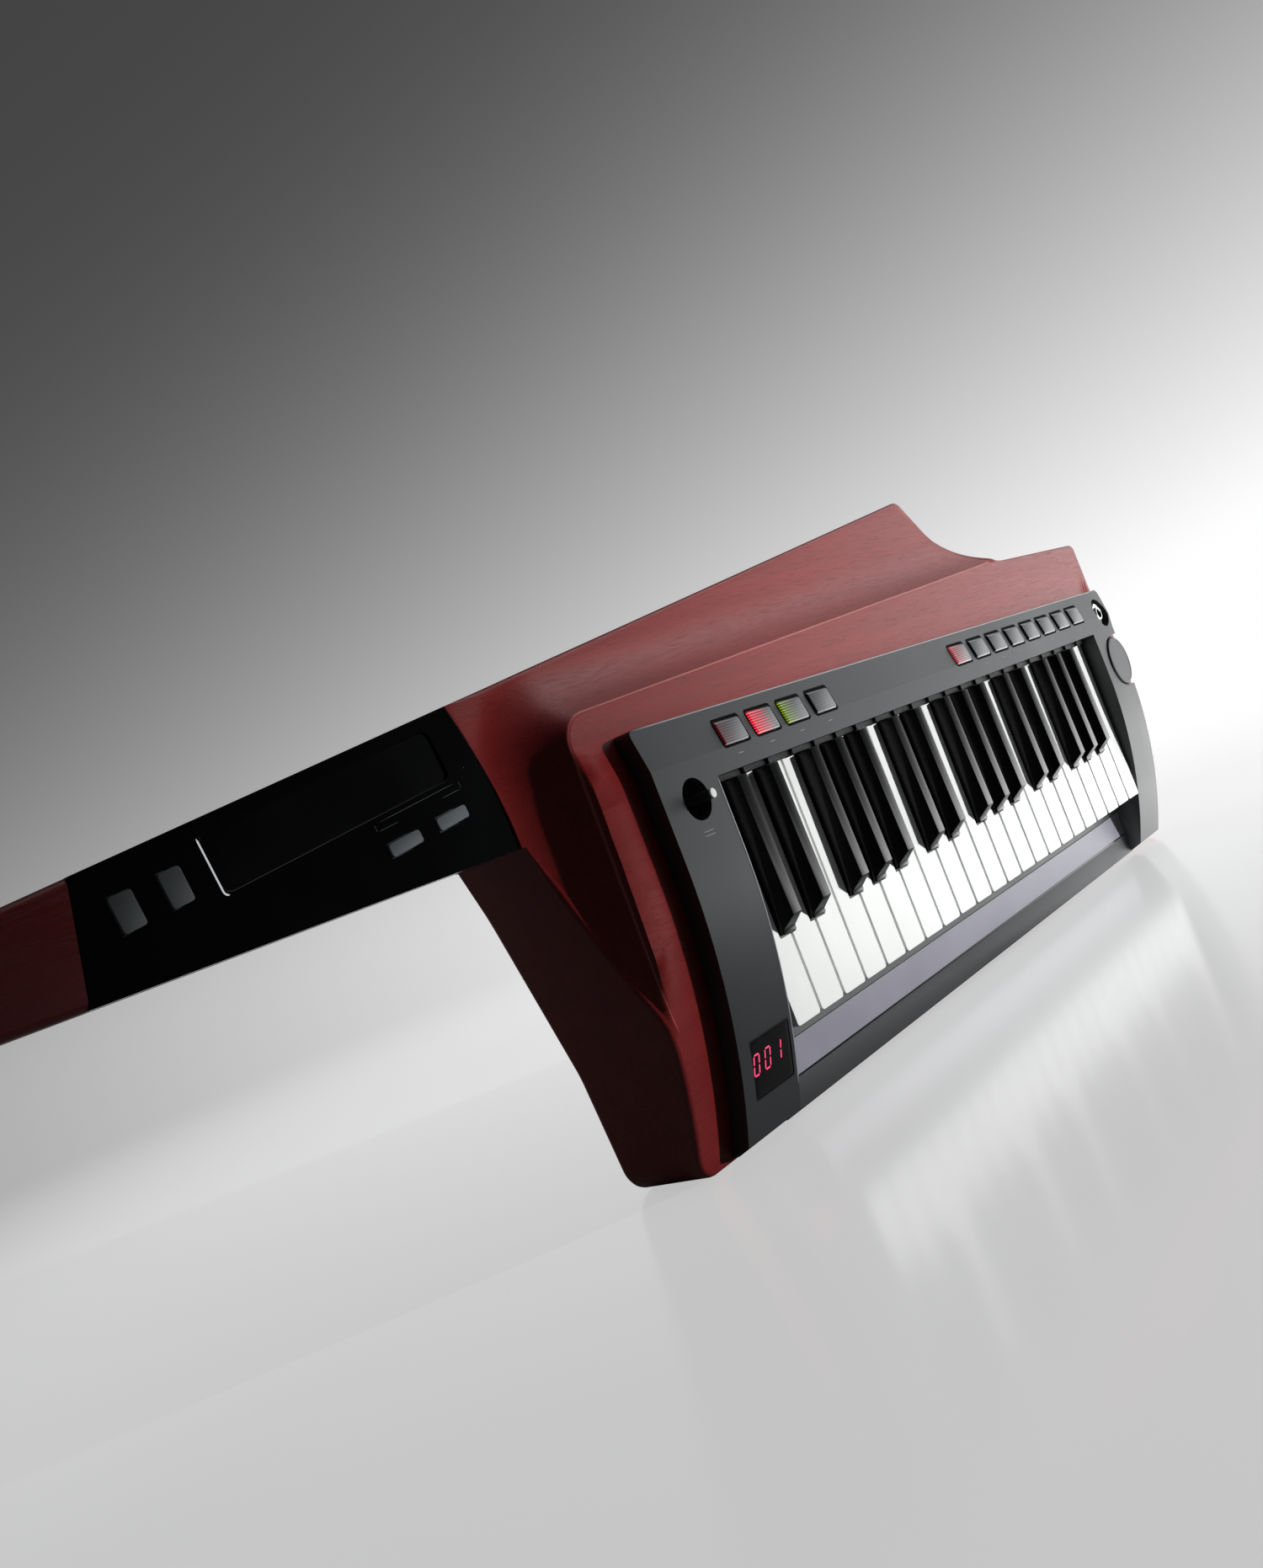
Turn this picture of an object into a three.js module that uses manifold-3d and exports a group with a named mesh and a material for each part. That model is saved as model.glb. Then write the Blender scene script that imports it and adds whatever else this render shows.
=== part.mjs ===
// A keytar with 37 mini keys, standing on its long lower edge.
// Sizes are in millimetres. Every piece is drawn with the instrument lying on its back: X runs along the
// keys from the first white key, Y up the face from the lower edge and Z out of the face from the flat
// back. The last group stands it up, so that Z points up and the face looks along -Y.
import * as THREE from "three";
import { mergeVertices } from "three/addons/utils/BufferGeometryUtils.js";
import Module from "manifold-3d";

const wasm = await Module();
wasm.setup();

// Clearances
const fitGap = 0.3; // between pieces that touch
const runGap = 0.4; // round a cap that travels
const overrun = 5; // how far a cut reaches past what it cuts

// Keyboard
const keyPitch = 20.2;
const whiteKeyCount = 22;
const keyboardLength = keyPitch * whiteKeyCount;
const keyGap = 0.9;
const keyFrontY = 36.5;
const keyTravel = 4.5;
const whiteSkirt = 14;
const whiteNaturalLength = 35;
const whiteWall = 2;
const whiteFloor = 8.9; // underside of the tails under the white key tops
const whiteCornerRadius = 1.6;
const blackBaseWidth = 10.4;
const blackTopWidth = 7;
const blackRise = 8.5;
const blackRearDrop = 1.1;
const blackRearGap = 3.1; // between the black keys and the button strip
const blackNoseRun = 5;
const blackFootRun = 1.8;
const blackFootRise = 1.9;
const blackDepth = 7.4;
const tailDrop = 3.4; // top of the tails under the white key tops
const tailReach = 6.5;
const blackOffsets = { 1: -2.8, 2: 2.2, 4: -2.8, 5: 0, 6: 3.2 }; // from the line between two white keys
const keysInOctave = 7;

// Front panel, laid out from the slot that shows the keys
const faceHeight = 69;
const faceOverKeys = 9.6;
const slotEndGap = 2;
const slotLeft = -slotEndGap;
const slotRight = keyboardLength + slotEndGap;
const slotTop = 143.5;
const leftCheek = 40;
const rightCheek = 38.6;
const topRightLean = 6; // how far the right edge bows out beside the button strip
const stripWidth = 28;
const stripFlat = 10; // flat part of the button strip, up to its crease
const panelLeft = slotLeft - leftCheek;
const panelRight = slotRight + rightCheek;
const panelTopRight = panelRight + topRightLean;
const panelBottom = 0.9;
const panelTop = slotTop + stripWidth;
const panelWall = 2.6;
const panelCornerRadius = 3;
const panelArcRadius = 300;
const panelArcRun = 27; // from the start of the arc to the button strip
const panelArcStart = slotTop - panelArcRun;
const panelFootRun = 3.3;
const panelFootY = panelBottom + panelFootRun;
const footEdge = 0.2; // thickness of the shell where its foot meets the wood
const footRun = 0.5; // how far the foot is drawn on before it is trimmed
const creaseY = slotTop + stripFlat;
const stripFall = 3.6; // how far the button strip falls from the crease to the top edge
const panelOverWood = 8.5;
const panelArcSteps = 14;
const pivotRun = 15; // from the front of the button strip to the pins of the keys
const pivotY = slotTop + pivotRun;

// Recess in front of the keys, with the long ribbon
const recessLip = 5.9; // from the floor up to the front edge of the face
const recessPlate = 2.6;
const recessBackGap = 1;
const ribbonToKeys = 8.6;
const ribbonWidth = 14.2;
const ribbonHigh = keyFrontY - ribbonToKeys;
const ribbonLow = ribbonHigh - ribbonWidth;
const ribbonThickness = 1.3;
const ribbonLine = 0.6; // open line below the ribbon
const ribbonProud = 0.1;

// Push buttons of the panel
const buttonLength = 18.4;
const buttonWidth = 11.4;
const buttonPitch = 25.5;
const buttonRun = 15.7; // from the front of the button strip
const buttonY = slotTop + buttonRun;
const functionButtonInset = 21.7;
const functionButtonX = slotLeft + functionButtonInset;
const functionButtonCount = 4;
const favouriteButtonCount = 8;
const buttonRise = 1.1;
const buttonBevel = 0.9;
const buttonTravel = 0.9;
const buttonFlange = 1.2;
const buttonFlangeThickness = 1.1;
const buttonSwitchGap = 0.8; // between the pressed flange and the board
const railWidth = 5;

// Mode lever
const leverInset = 21.5;
const leverX = panelLeft + leverInset;
const leverBelowStrip = 5.7;
const leverY = slotTop - leverBelowStrip;
const leverWellRadius = 8.8;
const leverWellWall = 2.4;
const leverWellDepth = 6.6;
const leverCross = 14;
const leverCrossWidth = 6.4;
const leverPivotDrop = 17;
const leverBallRadius = 4;
const leverNeckRadius = 2.2;
const leverTipRadius = 2.7;
const leverProud = 8.6;
const leverUnitSize = 15;
const leverUnitFloor = 1.5;

// Volume knob
const knobInset = 11.7;
const knobX = panelRight - knobInset;
const knobBelowStrip = 22.1;
const knobY = slotTop - knobBelowStrip;
const knobRadius = 16;
const knobWellRadius = 17.6;
const knobProud = 0.9;
const knobThickness = 6.4;
const knobWellDepth = 6.8;
const knobStemRadius = 3;
const knobStemLength = 10;
const encoderSize = 12;
const encoderDepth = 7;

// Output jack
const jackInset = 15.4;
const jackX = panelTopRight - jackInset;
const jackRun = 12.1; // from the front of the button strip
const jackY = slotTop + jackRun;
const jackWellRadius = 10;
const jackWellDepth = 5.8;
const jackBushRadius = 4.6;
const jackHoleRadius = 3.2;
const jackNutAcross = 13;
const jackNutThickness = 2.6;
const jackBushRise = 1.2;
const jackBodySize = 12;
const jackBodyLength = 18;
const jackFloorGap = 2;
const favouriteToJack = 46.4; // between the last favourite cap and the jack
const favouriteButtonX = jackX - favouriteToJack - (favouriteButtonCount - 1) * buttonPitch;

// Display window recess in the left cheek
const windowInset = 8;
const windowLeft = panelLeft + windowInset;
const windowRight = slotLeft - panelWall;
const windowRise = 18.6;
const windowWidth = 23.3;
const windowLow = panelBottom + windowRise;
const windowHigh = windowLow + windowWidth;
const windowDepth = 0.8;

// Wooden body, laid out from the panel that lies on it and from the place where the neck's wing starts
const rightBorder = 21.5;
const topBorder = 35.7;
const woodRight = panelRight + rightBorder;
const plateauTop = panelTop + topBorder;
const wingHeight = 37.4;
const wingRun = 59;
const wingRise = 30.9;
const wingStartX = panelLeft - wingRun;
const wingStartY = panelTop + wingRise;
const wingSlopeShare = 0.1365; // rise of the top edge for each millimetre along it
const hornInset = 193;
const hornX = woodRight - hornInset;
const hornRadius = 8;
const cutawayInset = 142.8;
const cutawayX = woodRight - cutawayInset;
const cutawayRadius = 50;
const neckWidth = 58.2;
const neckBottom = wingStartY - neckWidth;
const neckJointRun = 12;
const neckJointX = wingStartX + neckJointRun;
const neckJointRadius = 4;
const neckBack = 8;
const neckBackEnd = 1;
const neckBackEndX = wingStartX + neckBackEnd;
const neckLength = 211;
const headTopX = wingStartX - neckLength;
const headLean = 9; // how far the end of the headstock slants out
const woodLeft = headTopX - headLean;
const headRadius = 4;
const leftKneeOut = 26.5;
const leftKneeX = panelLeft - leftKneeOut;
const leftKneeY = 52;
const leftKneeRadius = 60;
const leftFootOut = 22;
const leftFootX = panelLeft - leftFootOut;
const footRadius = 12;
const rightFootRadius = 14;
const shoulderRadius = 5;
const rimLeftOut = 23.5;
const rimLean = 3; // how far the rim's left side slants in
const rimLeftRise = 8.9;
const rimRightInset = 86.5;
const rimRightDrop = 0.5;
const rimLeft = panelLeft - rimLeftOut;
const rimLeftTop = rimLeft + rimLean;
const rimLeftY = panelTop + rimLeftRise;
const rimRight = woodRight - rimRightInset;
const rimRightY = plateauTop - rimRightDrop;
const rimRadius = 9;
const coveWidth = 34;
const coveHeight = 24.6;
const coveSteps = 6;
const coveSink = 6;
const arcSteps = 5;
const pocketEdge = 3; // how far the panel rests on the wood round the pocket
const pocketLeft = panelLeft + pocketEdge;
const pocketRight = panelRight - pocketEdge;
const pocketLow = 7;
const pocketHigh = panelTop - pocketEdge;
const pocketFloor = 14;

// Back cover and battery bay
const coverLeftInset = 22;
const coverRightInset = 15;
const coverLeft = panelLeft + coverLeftInset;
const coverRight = panelRight - coverRightInset;
const coverLow = 25;
const coverWidth = 125;
const coverHigh = coverLow + coverWidth;
const coverThickness = 3;
const coverLedge = 8;
const coverRadius = 6;
const bayLength = 98;
const bayInset = 72; // between the bay and the right end of the cover
const bayLeft = coverRight - bayInset - bayLength;
const bayRise = 35;
const bayLow = coverLow + bayRise;
const bayWidth = 58;
const bayDepth = 15.5;
const bayWall = 1.5;
const doorThickness = 1.8;
const doorGap = 0.5;
const doorRebate = 2.4;

// Key chassis
const chassisEndGap = 6;
const chassisSideGap = 3;
const chassisLeft = pocketLeft + chassisEndGap;
const chassisRight = pocketRight - chassisEndGap;
const chassisLow = pocketLow + chassisSideGap;
const chassisHigh = pocketHigh - chassisSideGap;
const chassisFoot = 8;
const chassisFloor = pocketFloor + chassisFoot;
const chassisThickness = 3;
const chassisEnd = 4;
const pivotRailWidth = 7;
const restRailRun = 5.5; // behind the front of the white keys
const restRailY = keyFrontY + restRailRun;
const restRailWidth = 9;
const restGap = 0.6;

// Main board
const boardEndGap = 3.2;
const boardLeft = slotLeft - 2 * boardEndGap;
const boardRight = panelRight - boardEndGap;
const boardSideGap = 4;
const boardLow = slotTop + boardSideGap;
const boardHigh = panelTop - boardSideGap;
const boardDrop = 10.8; // underside of the board under the face
const boardHeight = faceHeight - boardDrop;
const boardThickness = 1.6;
const knobWingLeft = slotRight + panelWall + 2 * fitGap;
const knobWingRun = 19.4;
const knobWingLow = knobY - knobWingRun;
const leverWingRun = 15.5;
const leverWingLeft = leverX - leverWingRun;
const leverWingDrop = 11.8;
const leverWingLow = leverY - leverWingDrop;
const bossRadius = 2.4;
const bossInset = 18; // between a boss and the button beside it
const bossRun = 14;
const bossY = slotTop + bossRun;

// Neck panel, laid out along the slope of the top edge from the point where the wing starts
const neckPanelThickness = 6;
const headLength = 52;
const neckPanelLean = 7;
const neckPanelRightRun = 10.5;
const neckPanelLeftTop = headTopX + headLength;
const neckPanelLeftLow = neckPanelLeftTop - neckPanelLean;
const neckPanelRightLow = wingStartX + neckPanelRightRun;
const neckPanelEdgeSteps = 5;
const neckTroughDepth = 9;
const neckTroughInset = 8;
const neckTroughWidth = 16;
const neckTroughLeft = neckPanelLeftTop + neckTroughInset;
const neckTroughRight = wingStartX - neckTroughInset;
const neckTroughLow = neckBottom + neckTroughInset;
const neckTroughHigh = neckTroughLow + neckTroughWidth;
const neckPanelStart = (neckPanelLeftTop - wingStartX) * Math.hypot(1, wingSlopeShare); // along the edge
const padInset = 42.5;
const padRightInset = 13;
const padLeft = neckPanelStart + padInset;
const padLength = -padRightInset - padLeft;
const padHigh = -4.9;
const padWidth = 19.4;
const padRadius = 3;
const padThickness = 1.6;
const padRecess = 1;
const largeButtonInset = 11;
const largeButtonPitch = 17.3;
const largeButtonStart = neckPanelStart + largeButtonInset;
const largeButtonPlaces = [largeButtonStart, largeButtonStart + largeButtonPitch];
const largeButtonV = -15.8;
const largeButtonLength = 8.8;
const largeButtonWidth = 12.2;
const smallButtonInset = 21.3;
const smallButtonPitch = 24.7;
const smallButtonPlaces = [-smallButtonInset - smallButtonPitch, -smallButtonInset];
const smallButtonV = -36.9;
const smallButtonLength = 16.3;
const smallButtonWidth = 5.5;
const neckButtonRadius = 1;
const neckButtonRise = 0.9;
const neckButtonFlange = 1.1;
const neckButtonHollow = 3.4;
const neckButtonTravel = 0.8;

// Strap buttons
const strapHeadRadius = 7;
const strapNeckRadius = 3.4;
const strapHeadThickness = 2.4;
const strapLength = 11;
const strapBaseRadius = 6;
const strapBaseThickness = 1.4;
const strapBodyY = 108;
const strapBodyZ = 24;
const strapNeckInset = 14;
const strapNeckX = headTopX + strapNeckInset;
const strapNeckY = neckBottom + strapNeckInset;

const roundSteps = 24;
const keyTop = faceHeight - faceOverKeys;
const boardTop = boardHeight + boardThickness;
const buttonFlangeHeight = boardTop + buttonTravel + buttonSwitchGap;
const recessFloor = panelHeight(panelBottom) - recessLip;
const neckAngle = Math.atan(wingSlopeShare);

const materials = {
  stainedWood: new THREE.MeshStandardMaterial({ color: 0x6e1a1e, roughness: 0.45, metalness: 0 }),
  charcoalShell: new THREE.MeshStandardMaterial({ color: 0x4a4c4e, roughness: 0.6, metalness: 0 }),
  glossBlack: new THREE.MeshStandardMaterial({ color: 0x0c0d0e, roughness: 0.15, metalness: 0 }),
  ivoryWhite: new THREE.MeshStandardMaterial({ color: 0xf4f4f2, roughness: 0.3, metalness: 0 }),
  keyBlack: new THREE.MeshStandardMaterial({ color: 0x17181a, roughness: 0.4, metalness: 0 }),
  buttonGrey: new THREE.MeshStandardMaterial({ color: 0x707276, roughness: 0.5, metalness: 0 }),
  ribbonGrey: new THREE.MeshStandardMaterial({ color: 0x5a5a66, roughness: 0.2, metalness: 0.3 }),
  chrome: new THREE.MeshStandardMaterial({ color: 0xe6e6e6, roughness: 0.12, metalness: 1 }),
  circuitGreen: new THREE.MeshStandardMaterial({ color: 0x1f5a34, roughness: 0.5, metalness: 0 }),
  chassisBlack: new THREE.MeshStandardMaterial({ color: 0x202122, roughness: 0.7, metalness: 0 }),
};

// A closed three.js geometry as a solid that can be joined and cut.
function solidOf(geometry) {
  const plain = geometry.index ? geometry : geometry.clone();
  plain.deleteAttribute("normal");
  plain.deleteAttribute("uv");
  const merged = mergeVertices(plain, 1e-4);
  return new wasm.Manifold(
    new wasm.Mesh({
      numProp: 3,
      vertProperties: merged.attributes.position.array,
      triVerts: new Uint32Array(merged.index.array),
    }),
  );
}

function joined(...solids) {
  return solids.reduce((whole, piece) => whole.add(piece));
}

function cut(solid, ...tools) {
  return tools.reduce((rest, tool) => rest.subtract(tool), solid);
}

// Points [x, y, radius] become an outline with each corner rounded by its radius.
function roundedOutline(corners, steps = arcSteps) {
  const points = [];
  corners.forEach(([x, y, radius = 0], i) => {
    const corner = new THREE.Vector2(x, y);
    if (radius === 0) {
      points.push(corner);
      return;
    }
    const last = corners[(i + corners.length - 1) % corners.length];
    const next = corners[(i + 1) % corners.length];
    const back = new THREE.Vector2(last[0], last[1]).sub(corner).normalize();
    const ahead = new THREE.Vector2(next[0], next[1]).sub(corner).normalize();
    const half = Math.acos(THREE.MathUtils.clamp(back.dot(ahead), -1, 1)) / 2;
    const middle = back.clone().add(ahead).normalize();
    const centre = corner.clone().addScaledVector(middle, radius / Math.sin(half));
    const start = corner.clone().addScaledVector(back, radius / Math.tan(half)).sub(centre);
    const end = corner.clone().addScaledVector(ahead, radius / Math.tan(half)).sub(centre);
    const turn = Math.atan2(start.cross(end), start.dot(end));
    for (let k = 0; k <= steps; k++) {
      const spoke = start.clone().rotateAround(new THREE.Vector2(), (turn * k) / steps);
      points.push(centre.clone().add(spoke));
    }
  });
  return points;
}

// An outline in X and Y raised from one height to another.
function prism(points, low, high) {
  const shape = new THREE.Shape(points);
  const geometry = new THREE.ExtrudeGeometry(shape, { depth: high - low, bevelEnabled: false });
  return solidOf(geometry.translate(0, 0, low));
}

// A profile in Y and Z carried along X.
function lane(profile, left, right) {
  const shape = new THREE.Shape(profile.map(([y, z]) => new THREE.Vector2(y, z)));
  const geometry = new THREE.ExtrudeGeometry(shape, { depth: right - left, bevelEnabled: false });
  const turn = new THREE.Matrix4().makeBasis(
    new THREE.Vector3(0, 1, 0),
    new THREE.Vector3(0, 0, 1),
    new THREE.Vector3(1, 0, 0),
  );
  return solidOf(geometry.applyMatrix4(turn).translate(left, 0, 0));
}

function box(left, right, low, high, back, front) {
  const geometry = new THREE.BoxGeometry(right - left, high - low, front - back);
  return solidOf(geometry.translate((left + right) / 2, (low + high) / 2, (back + front) / 2));
}

// A round solid about an axis along Z, from a profile of [radius, z].
function turned(profile, x, y, steps = roundSteps) {
  const geometry = new THREE.LatheGeometry(
    profile.map(([radius, z]) => new THREE.Vector2(radius, z)),
    steps,
  );
  return solidOf(geometry.rotateX(Math.PI / 2).translate(x, y, 0));
}

function disc(x, y, radius, back, front, steps = roundSteps) {
  return turned([[0, back], [radius, back], [radius, front], [0, front]], x, y, steps);
}

function rectangle(x, y, length, width, radius = 0) {
  const half = [length / 2, width / 2];
  return roundedOutline([
    [x - half[0], y - half[1], radius],
    [x + half[0], y - half[1], radius],
    [x + half[0], y + half[1], radius],
    [x - half[0], y + half[1], radius],
  ], 2);
}

function topEdge(x) {
  return wingStartY + (x - wingStartX) * wingSlopeShare;
}

// Height of the panel's face: an arc that falls to the player, a flat, and the inclined button strip.
function panelHeight(y) {
  if (y < panelArcStart) {
    const run = panelArcStart - y;
    return faceHeight - panelArcRadius + Math.sqrt(panelArcRadius ** 2 - run ** 2);
  }
  return faceHeight - (Math.max(0, y - creaseY) * stripFall) / (panelTop - creaseY);
}

// Height of the wood under and round the panel.
function plateauHeight(y) {
  return panelHeight(Math.min(y, panelTop)) - panelOverWood;
}

// The face line from one Y to another as profile points, shifted by a height.
function faceLine(from, to, shift, height = panelHeight) {
  const steps = Array.from({ length: panelArcSteps + 1 }, (_, k) => {
    return panelFootY + ((panelArcStart - panelFootY) * k) / panelArcSteps;
  });
  const places = [...steps, creaseY, panelTop].filter((y) => y > from && y < to);
  return [from, ...places, to].map((y) => [y, height(y) + shift]);
}

function bodyOutline() {
  return roundedOutline([
    [leftFootX, 0, footRadius],
    [woodRight, 0, rightFootRadius],
    [woodRight, plateauTop, shoulderRadius],
    [cutawayX, plateauTop, cutawayRadius],
    [hornX, topEdge(hornX), hornRadius],
    [headTopX, topEdge(headTopX), headRadius],
    [woodLeft, neckBottom, headRadius],
    [neckJointX, neckBottom, neckJointRadius],
    [leftKneeX, leftKneeY, leftKneeRadius],
  ]);
}

// The rim of the plateau moved outwards by a distance. Its right and lower sides lie past the body.
function rimOutline(out) {
  const slope = (rimRightY - rimLeftY) / (rimRight - rimLeftTop);
  const lift = out * Math.hypot(1, slope);
  const right = woodRight + coveWidth;
  return roundedOutline([
    [rimLeft - out, -coveWidth, 0],
    [right, -coveWidth, 0],
    [right, rimLeftY + (right - rimLeftTop) * slope + lift, 0],
    [rimLeftTop - out, rimLeftY - out * slope + lift, rimRadius + out],
  ]);
}

// Rings of equal point count, each at its height, skinned into one closed solid.
function skinned(rings) {
  const count = rings[0].points.length;
  const positions = rings.flatMap(({ points, height }) => points.flatMap((p) => [p.x, p.y, height]));
  const faces = [];
  for (let r = 0; r + 1 < rings.length; r++) {
    for (let k = 0; k < count; k++) {
      const a = r * count + k;
      const b = r * count + ((k + 1) % count);
      faces.push(a, b, b + count, a, b + count, a + count);
    }
  }
  const top = (rings.length - 1) * count;
  for (let k = 1; k + 1 < count; k++) {
    faces.push(0, k + 1, k);
    faces.push(top, top + k, top + k + 1);
  }
  const geometry = new THREE.BufferGeometry();
  geometry.setAttribute("position", new THREE.Float32BufferAttribute(positions, 3));
  geometry.setIndex(faces);
  return solidOf(geometry);
}

// The raised plateau with the soft cove round it.
function plateau() {
  const rings = [{ points: rimOutline(coveWidth), height: wingHeight - coveSink }];
  for (let k = coveSteps; k >= 0; k--) {
    const share = k / coveSteps;
    rings.push({
      points: rimOutline(coveWidth * share),
      height: wingHeight + coveHeight * (1 - share) ** 2,
    });
  }
  const low = -coveWidth;
  const high = plateauTop + coveWidth;
  const under = lane(
    [
      [low, 0],
      [high, 0],
      [high, plateauHeight(high)],
      ...faceLine(panelBottom, panelTop, 0, plateauHeight).reverse(),
      [low, plateauHeight(panelBottom)],
    ],
    rimLeft - 2 * coveWidth,
    woodRight + 2 * coveWidth,
  );
  return skinned(rings).intersect(under);
}

function woodBody() {
  const outline = bodyOutline();
  const whole = joined(prism(outline, 0, wingHeight), plateau()).intersect(prism(outline, 0, faceHeight));
  const lipTop = recessFloor - recessPlate - fitGap;
  const inside = coverLedge;
  return cut(
    whole,
    box(pocketLeft, pocketRight, pocketLow, pocketHigh, pocketFloor, faceHeight),
    box(
      coverLeft + inside,
      coverRight - inside,
      coverLow + inside,
      coverHigh - inside,
      -overrun,
      pocketFloor + overrun,
    ),
    prism(
      rectangle(
        (coverLeft + coverRight) / 2,
        (coverLow + coverHigh) / 2,
        coverRight - coverLeft + 2 * fitGap,
        coverHigh - coverLow + 2 * fitGap,
        coverRadius,
      ),
      -overrun,
      coverThickness + fitGap,
    ),
    box(
      slotLeft - panelWall - fitGap,
      slotRight + panelWall + fitGap,
      -overrun,
      pocketLow + overrun,
      lipTop,
      faceHeight,
    ),
    box(
      woodLeft - overrun,
      neckBackEndX,
      neckBottom - overrun,
      topEdge(wingStartX) + overrun,
      -overrun,
      neckBack,
    ),
    prism(neckPanelOutline(-fitGap), wingHeight - neckPanelThickness - fitGap, wingHeight + overrun),
    box(
      neckTroughLeft,
      neckTroughRight,
      neckTroughLow,
      neckTroughHigh,
      wingHeight - neckPanelThickness - neckTroughDepth,
      wingHeight,
    ),
    padWell(),
    disc(strapNeckX, strapNeckY, strapNeckRadius + fitGap, neckBack - overrun, neckBack + strapBaseThickness),
  );
}

// Outline of the panel: its right edge bows out to the top corner.
function panelOutline() {
  return roundedOutline([
    [panelLeft, panelBottom, panelCornerRadius],
    [panelRight, panelBottom, panelCornerRadius],
    [panelRight, slotTop, 0],
    [panelTopRight, panelTop, panelCornerRadius],
    [panelLeft, panelTop, panelCornerRadius],
  ], 3);
}

// A solid that fills everything under the face line, down to the flat back.
function underFace(drop) {
  const low = -overrun;
  const high = panelTop + overrun;
  return lane(
    [[low, 0], [high, 0], ...faceLine(low, high, -drop).reverse()],
    panelLeft - overrun,
    panelTopRight + overrun,
  );
}

// The moulded skin: the two cheeks and the button strip, hollow from behind, with a wall round the keys.
function panelShell() {
  const low = panelBottom - footRun;
  const high = panelTop + overrun;
  const skin = lane(
    [
      ...faceLine(low, high, fitGap, plateauHeight),
      ...faceLine(panelFootY, high, 0).reverse(),
      [low, plateauHeight(low) + fitGap + footEdge],
    ],
    panelLeft - overrun,
    panelTopRight + overrun,
  );
  const cheekWall = (left) =>
    lane(
      [
        [low, recessFloor - recessPlate + fitGap],
        [slotTop - fitGap, recessFloor - recessPlate + fitGap],
        ...faceLine(low, slotTop - fitGap, 2 * fitGap, plateauHeight).reverse(),
      ],
      left,
      left + panelWall,
    );
  const hollow = lane(
    [
      [panelFootY + panelWall, recessFloor],
      [panelTop - panelWall, recessFloor],
      ...faceLine(panelFootY + panelWall, panelTop - panelWall, -panelWall).reverse(),
    ],
    panelLeft + panelWall,
    panelRight - panelWall,
  );
  const rib = box(
    slotLeft - panelWall,
    slotRight + panelWall,
    -overrun,
    slotTop + panelWall,
    0,
    faceHeight + overrun,
  );
  return cut(
    joined(
      cut(skin, cut(hollow, rib)),
      cheekWall(slotLeft - panelWall + fitGap),
      cheekWall(slotRight - fitGap),
    ),
    box(slotLeft, slotRight, -overrun, slotTop, recessFloor - overrun, faceHeight + overrun),
  );
}

function buttonCentres(first, count) {
  return Array.from({ length: count }, (_, k) => first + k * buttonPitch);
}

// The bosses that hold the board stand beside both ends of each row of buttons.
function bossPlaces() {
  const rows = [
    buttonCentres(functionButtonX, functionButtonCount),
    buttonCentres(favouriteButtonX, favouriteButtonCount),
  ];
  return rows.flatMap((row) => [row[0] - bossInset, row[row.length - 1] + bossInset]);
}

function frontPanel() {
  const floorPlate = box(
    slotLeft - panelWall / 2,
    slotRight + panelWall / 2,
    -overrun,
    keyFrontY - recessBackGap,
    recessFloor - recessPlate,
    recessFloor,
  );
  const wellBase = plateauHeight(slotTop) + fitGap;
  const wells = joined(
    disc(knobX, knobY, knobWellRadius + panelWall, wellBase, faceHeight),
    disc(jackX, jackY, jackWellRadius + panelWall / 2, wellBase, faceHeight),
    disc(leverX, leverY, leverWellRadius + leverWellWall, wellBase, faceHeight),
    ...bossPlaces().map((x) => disc(x, bossY, bossRadius, boardTop + fitGap, faceHeight, 8)),
  ).intersect(underFace(fitGap));
  const holes = [
    ...buttonCentres(functionButtonX, functionButtonCount),
    ...buttonCentres(favouriteButtonX, favouriteButtonCount),
  ].map((x) =>
    box(
      x - buttonLength / 2,
      x + buttonLength / 2,
      buttonY - buttonWidth / 2,
      buttonY + buttonWidth / 2,
      keyTop,
      faceHeight + overrun,
    ),
  );
  const windowCut = lane(
    [
      ...faceLine(windowLow, windowHigh, -windowDepth),
      ...faceLine(windowLow, windowHigh, overrun).reverse(),
    ],
    windowLeft,
    windowRight,
  );
  const knobFloor = faceHeight - knobWellDepth;
  const knobCut = joined(
    disc(knobX, knobY, knobWellRadius, knobFloor, faceHeight + overrun),
    box(
      knobX,
      panelTopRight + overrun,
      knobY - knobWellRadius,
      knobY + knobWellRadius,
      knobFloor,
      faceHeight + overrun,
    ),
  );
  const leverFloor = faceHeight - leverWellDepth;
  const cross = (length, width) =>
    box(
      leverX - length / 2,
      leverX + length / 2,
      leverY - width / 2,
      leverY + width / 2,
      wellBase - overrun,
      leverFloor + overrun,
    );
  return cut(
    joined(panelShell(), floorPlate, wells),
    ...holes,
    windowCut,
    knobCut,
    disc(knobX, knobY, knobStemRadius + runGap, wellBase - overrun, faceHeight),
    disc(jackX, jackY, jackWellRadius, faceHeight - jackWellDepth, faceHeight + overrun),
    disc(jackX, jackY, jackBushRadius + fitGap, wellBase - overrun, faceHeight),
    disc(leverX, leverY, leverWellRadius, leverFloor, faceHeight + overrun),
    cross(leverCross, leverCrossWidth),
    cross(leverCrossWidth, leverCross),
    box(
      slotLeft - panelWall / 2,
      slotRight + panelWall / 2,
      ribbonLow - ribbonLine,
      ribbonHigh + fitGap,
      recessFloor + ribbonProud - ribbonThickness - fitGap,
      recessFloor + overrun,
    ).intersect(box(slotLeft, slotRight, panelBottom, keyFrontY, recessFloor - recessPlate, keyTop)),
  ).intersect(prism(panelOutline(), 0, faceHeight + overrun));
}

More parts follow.
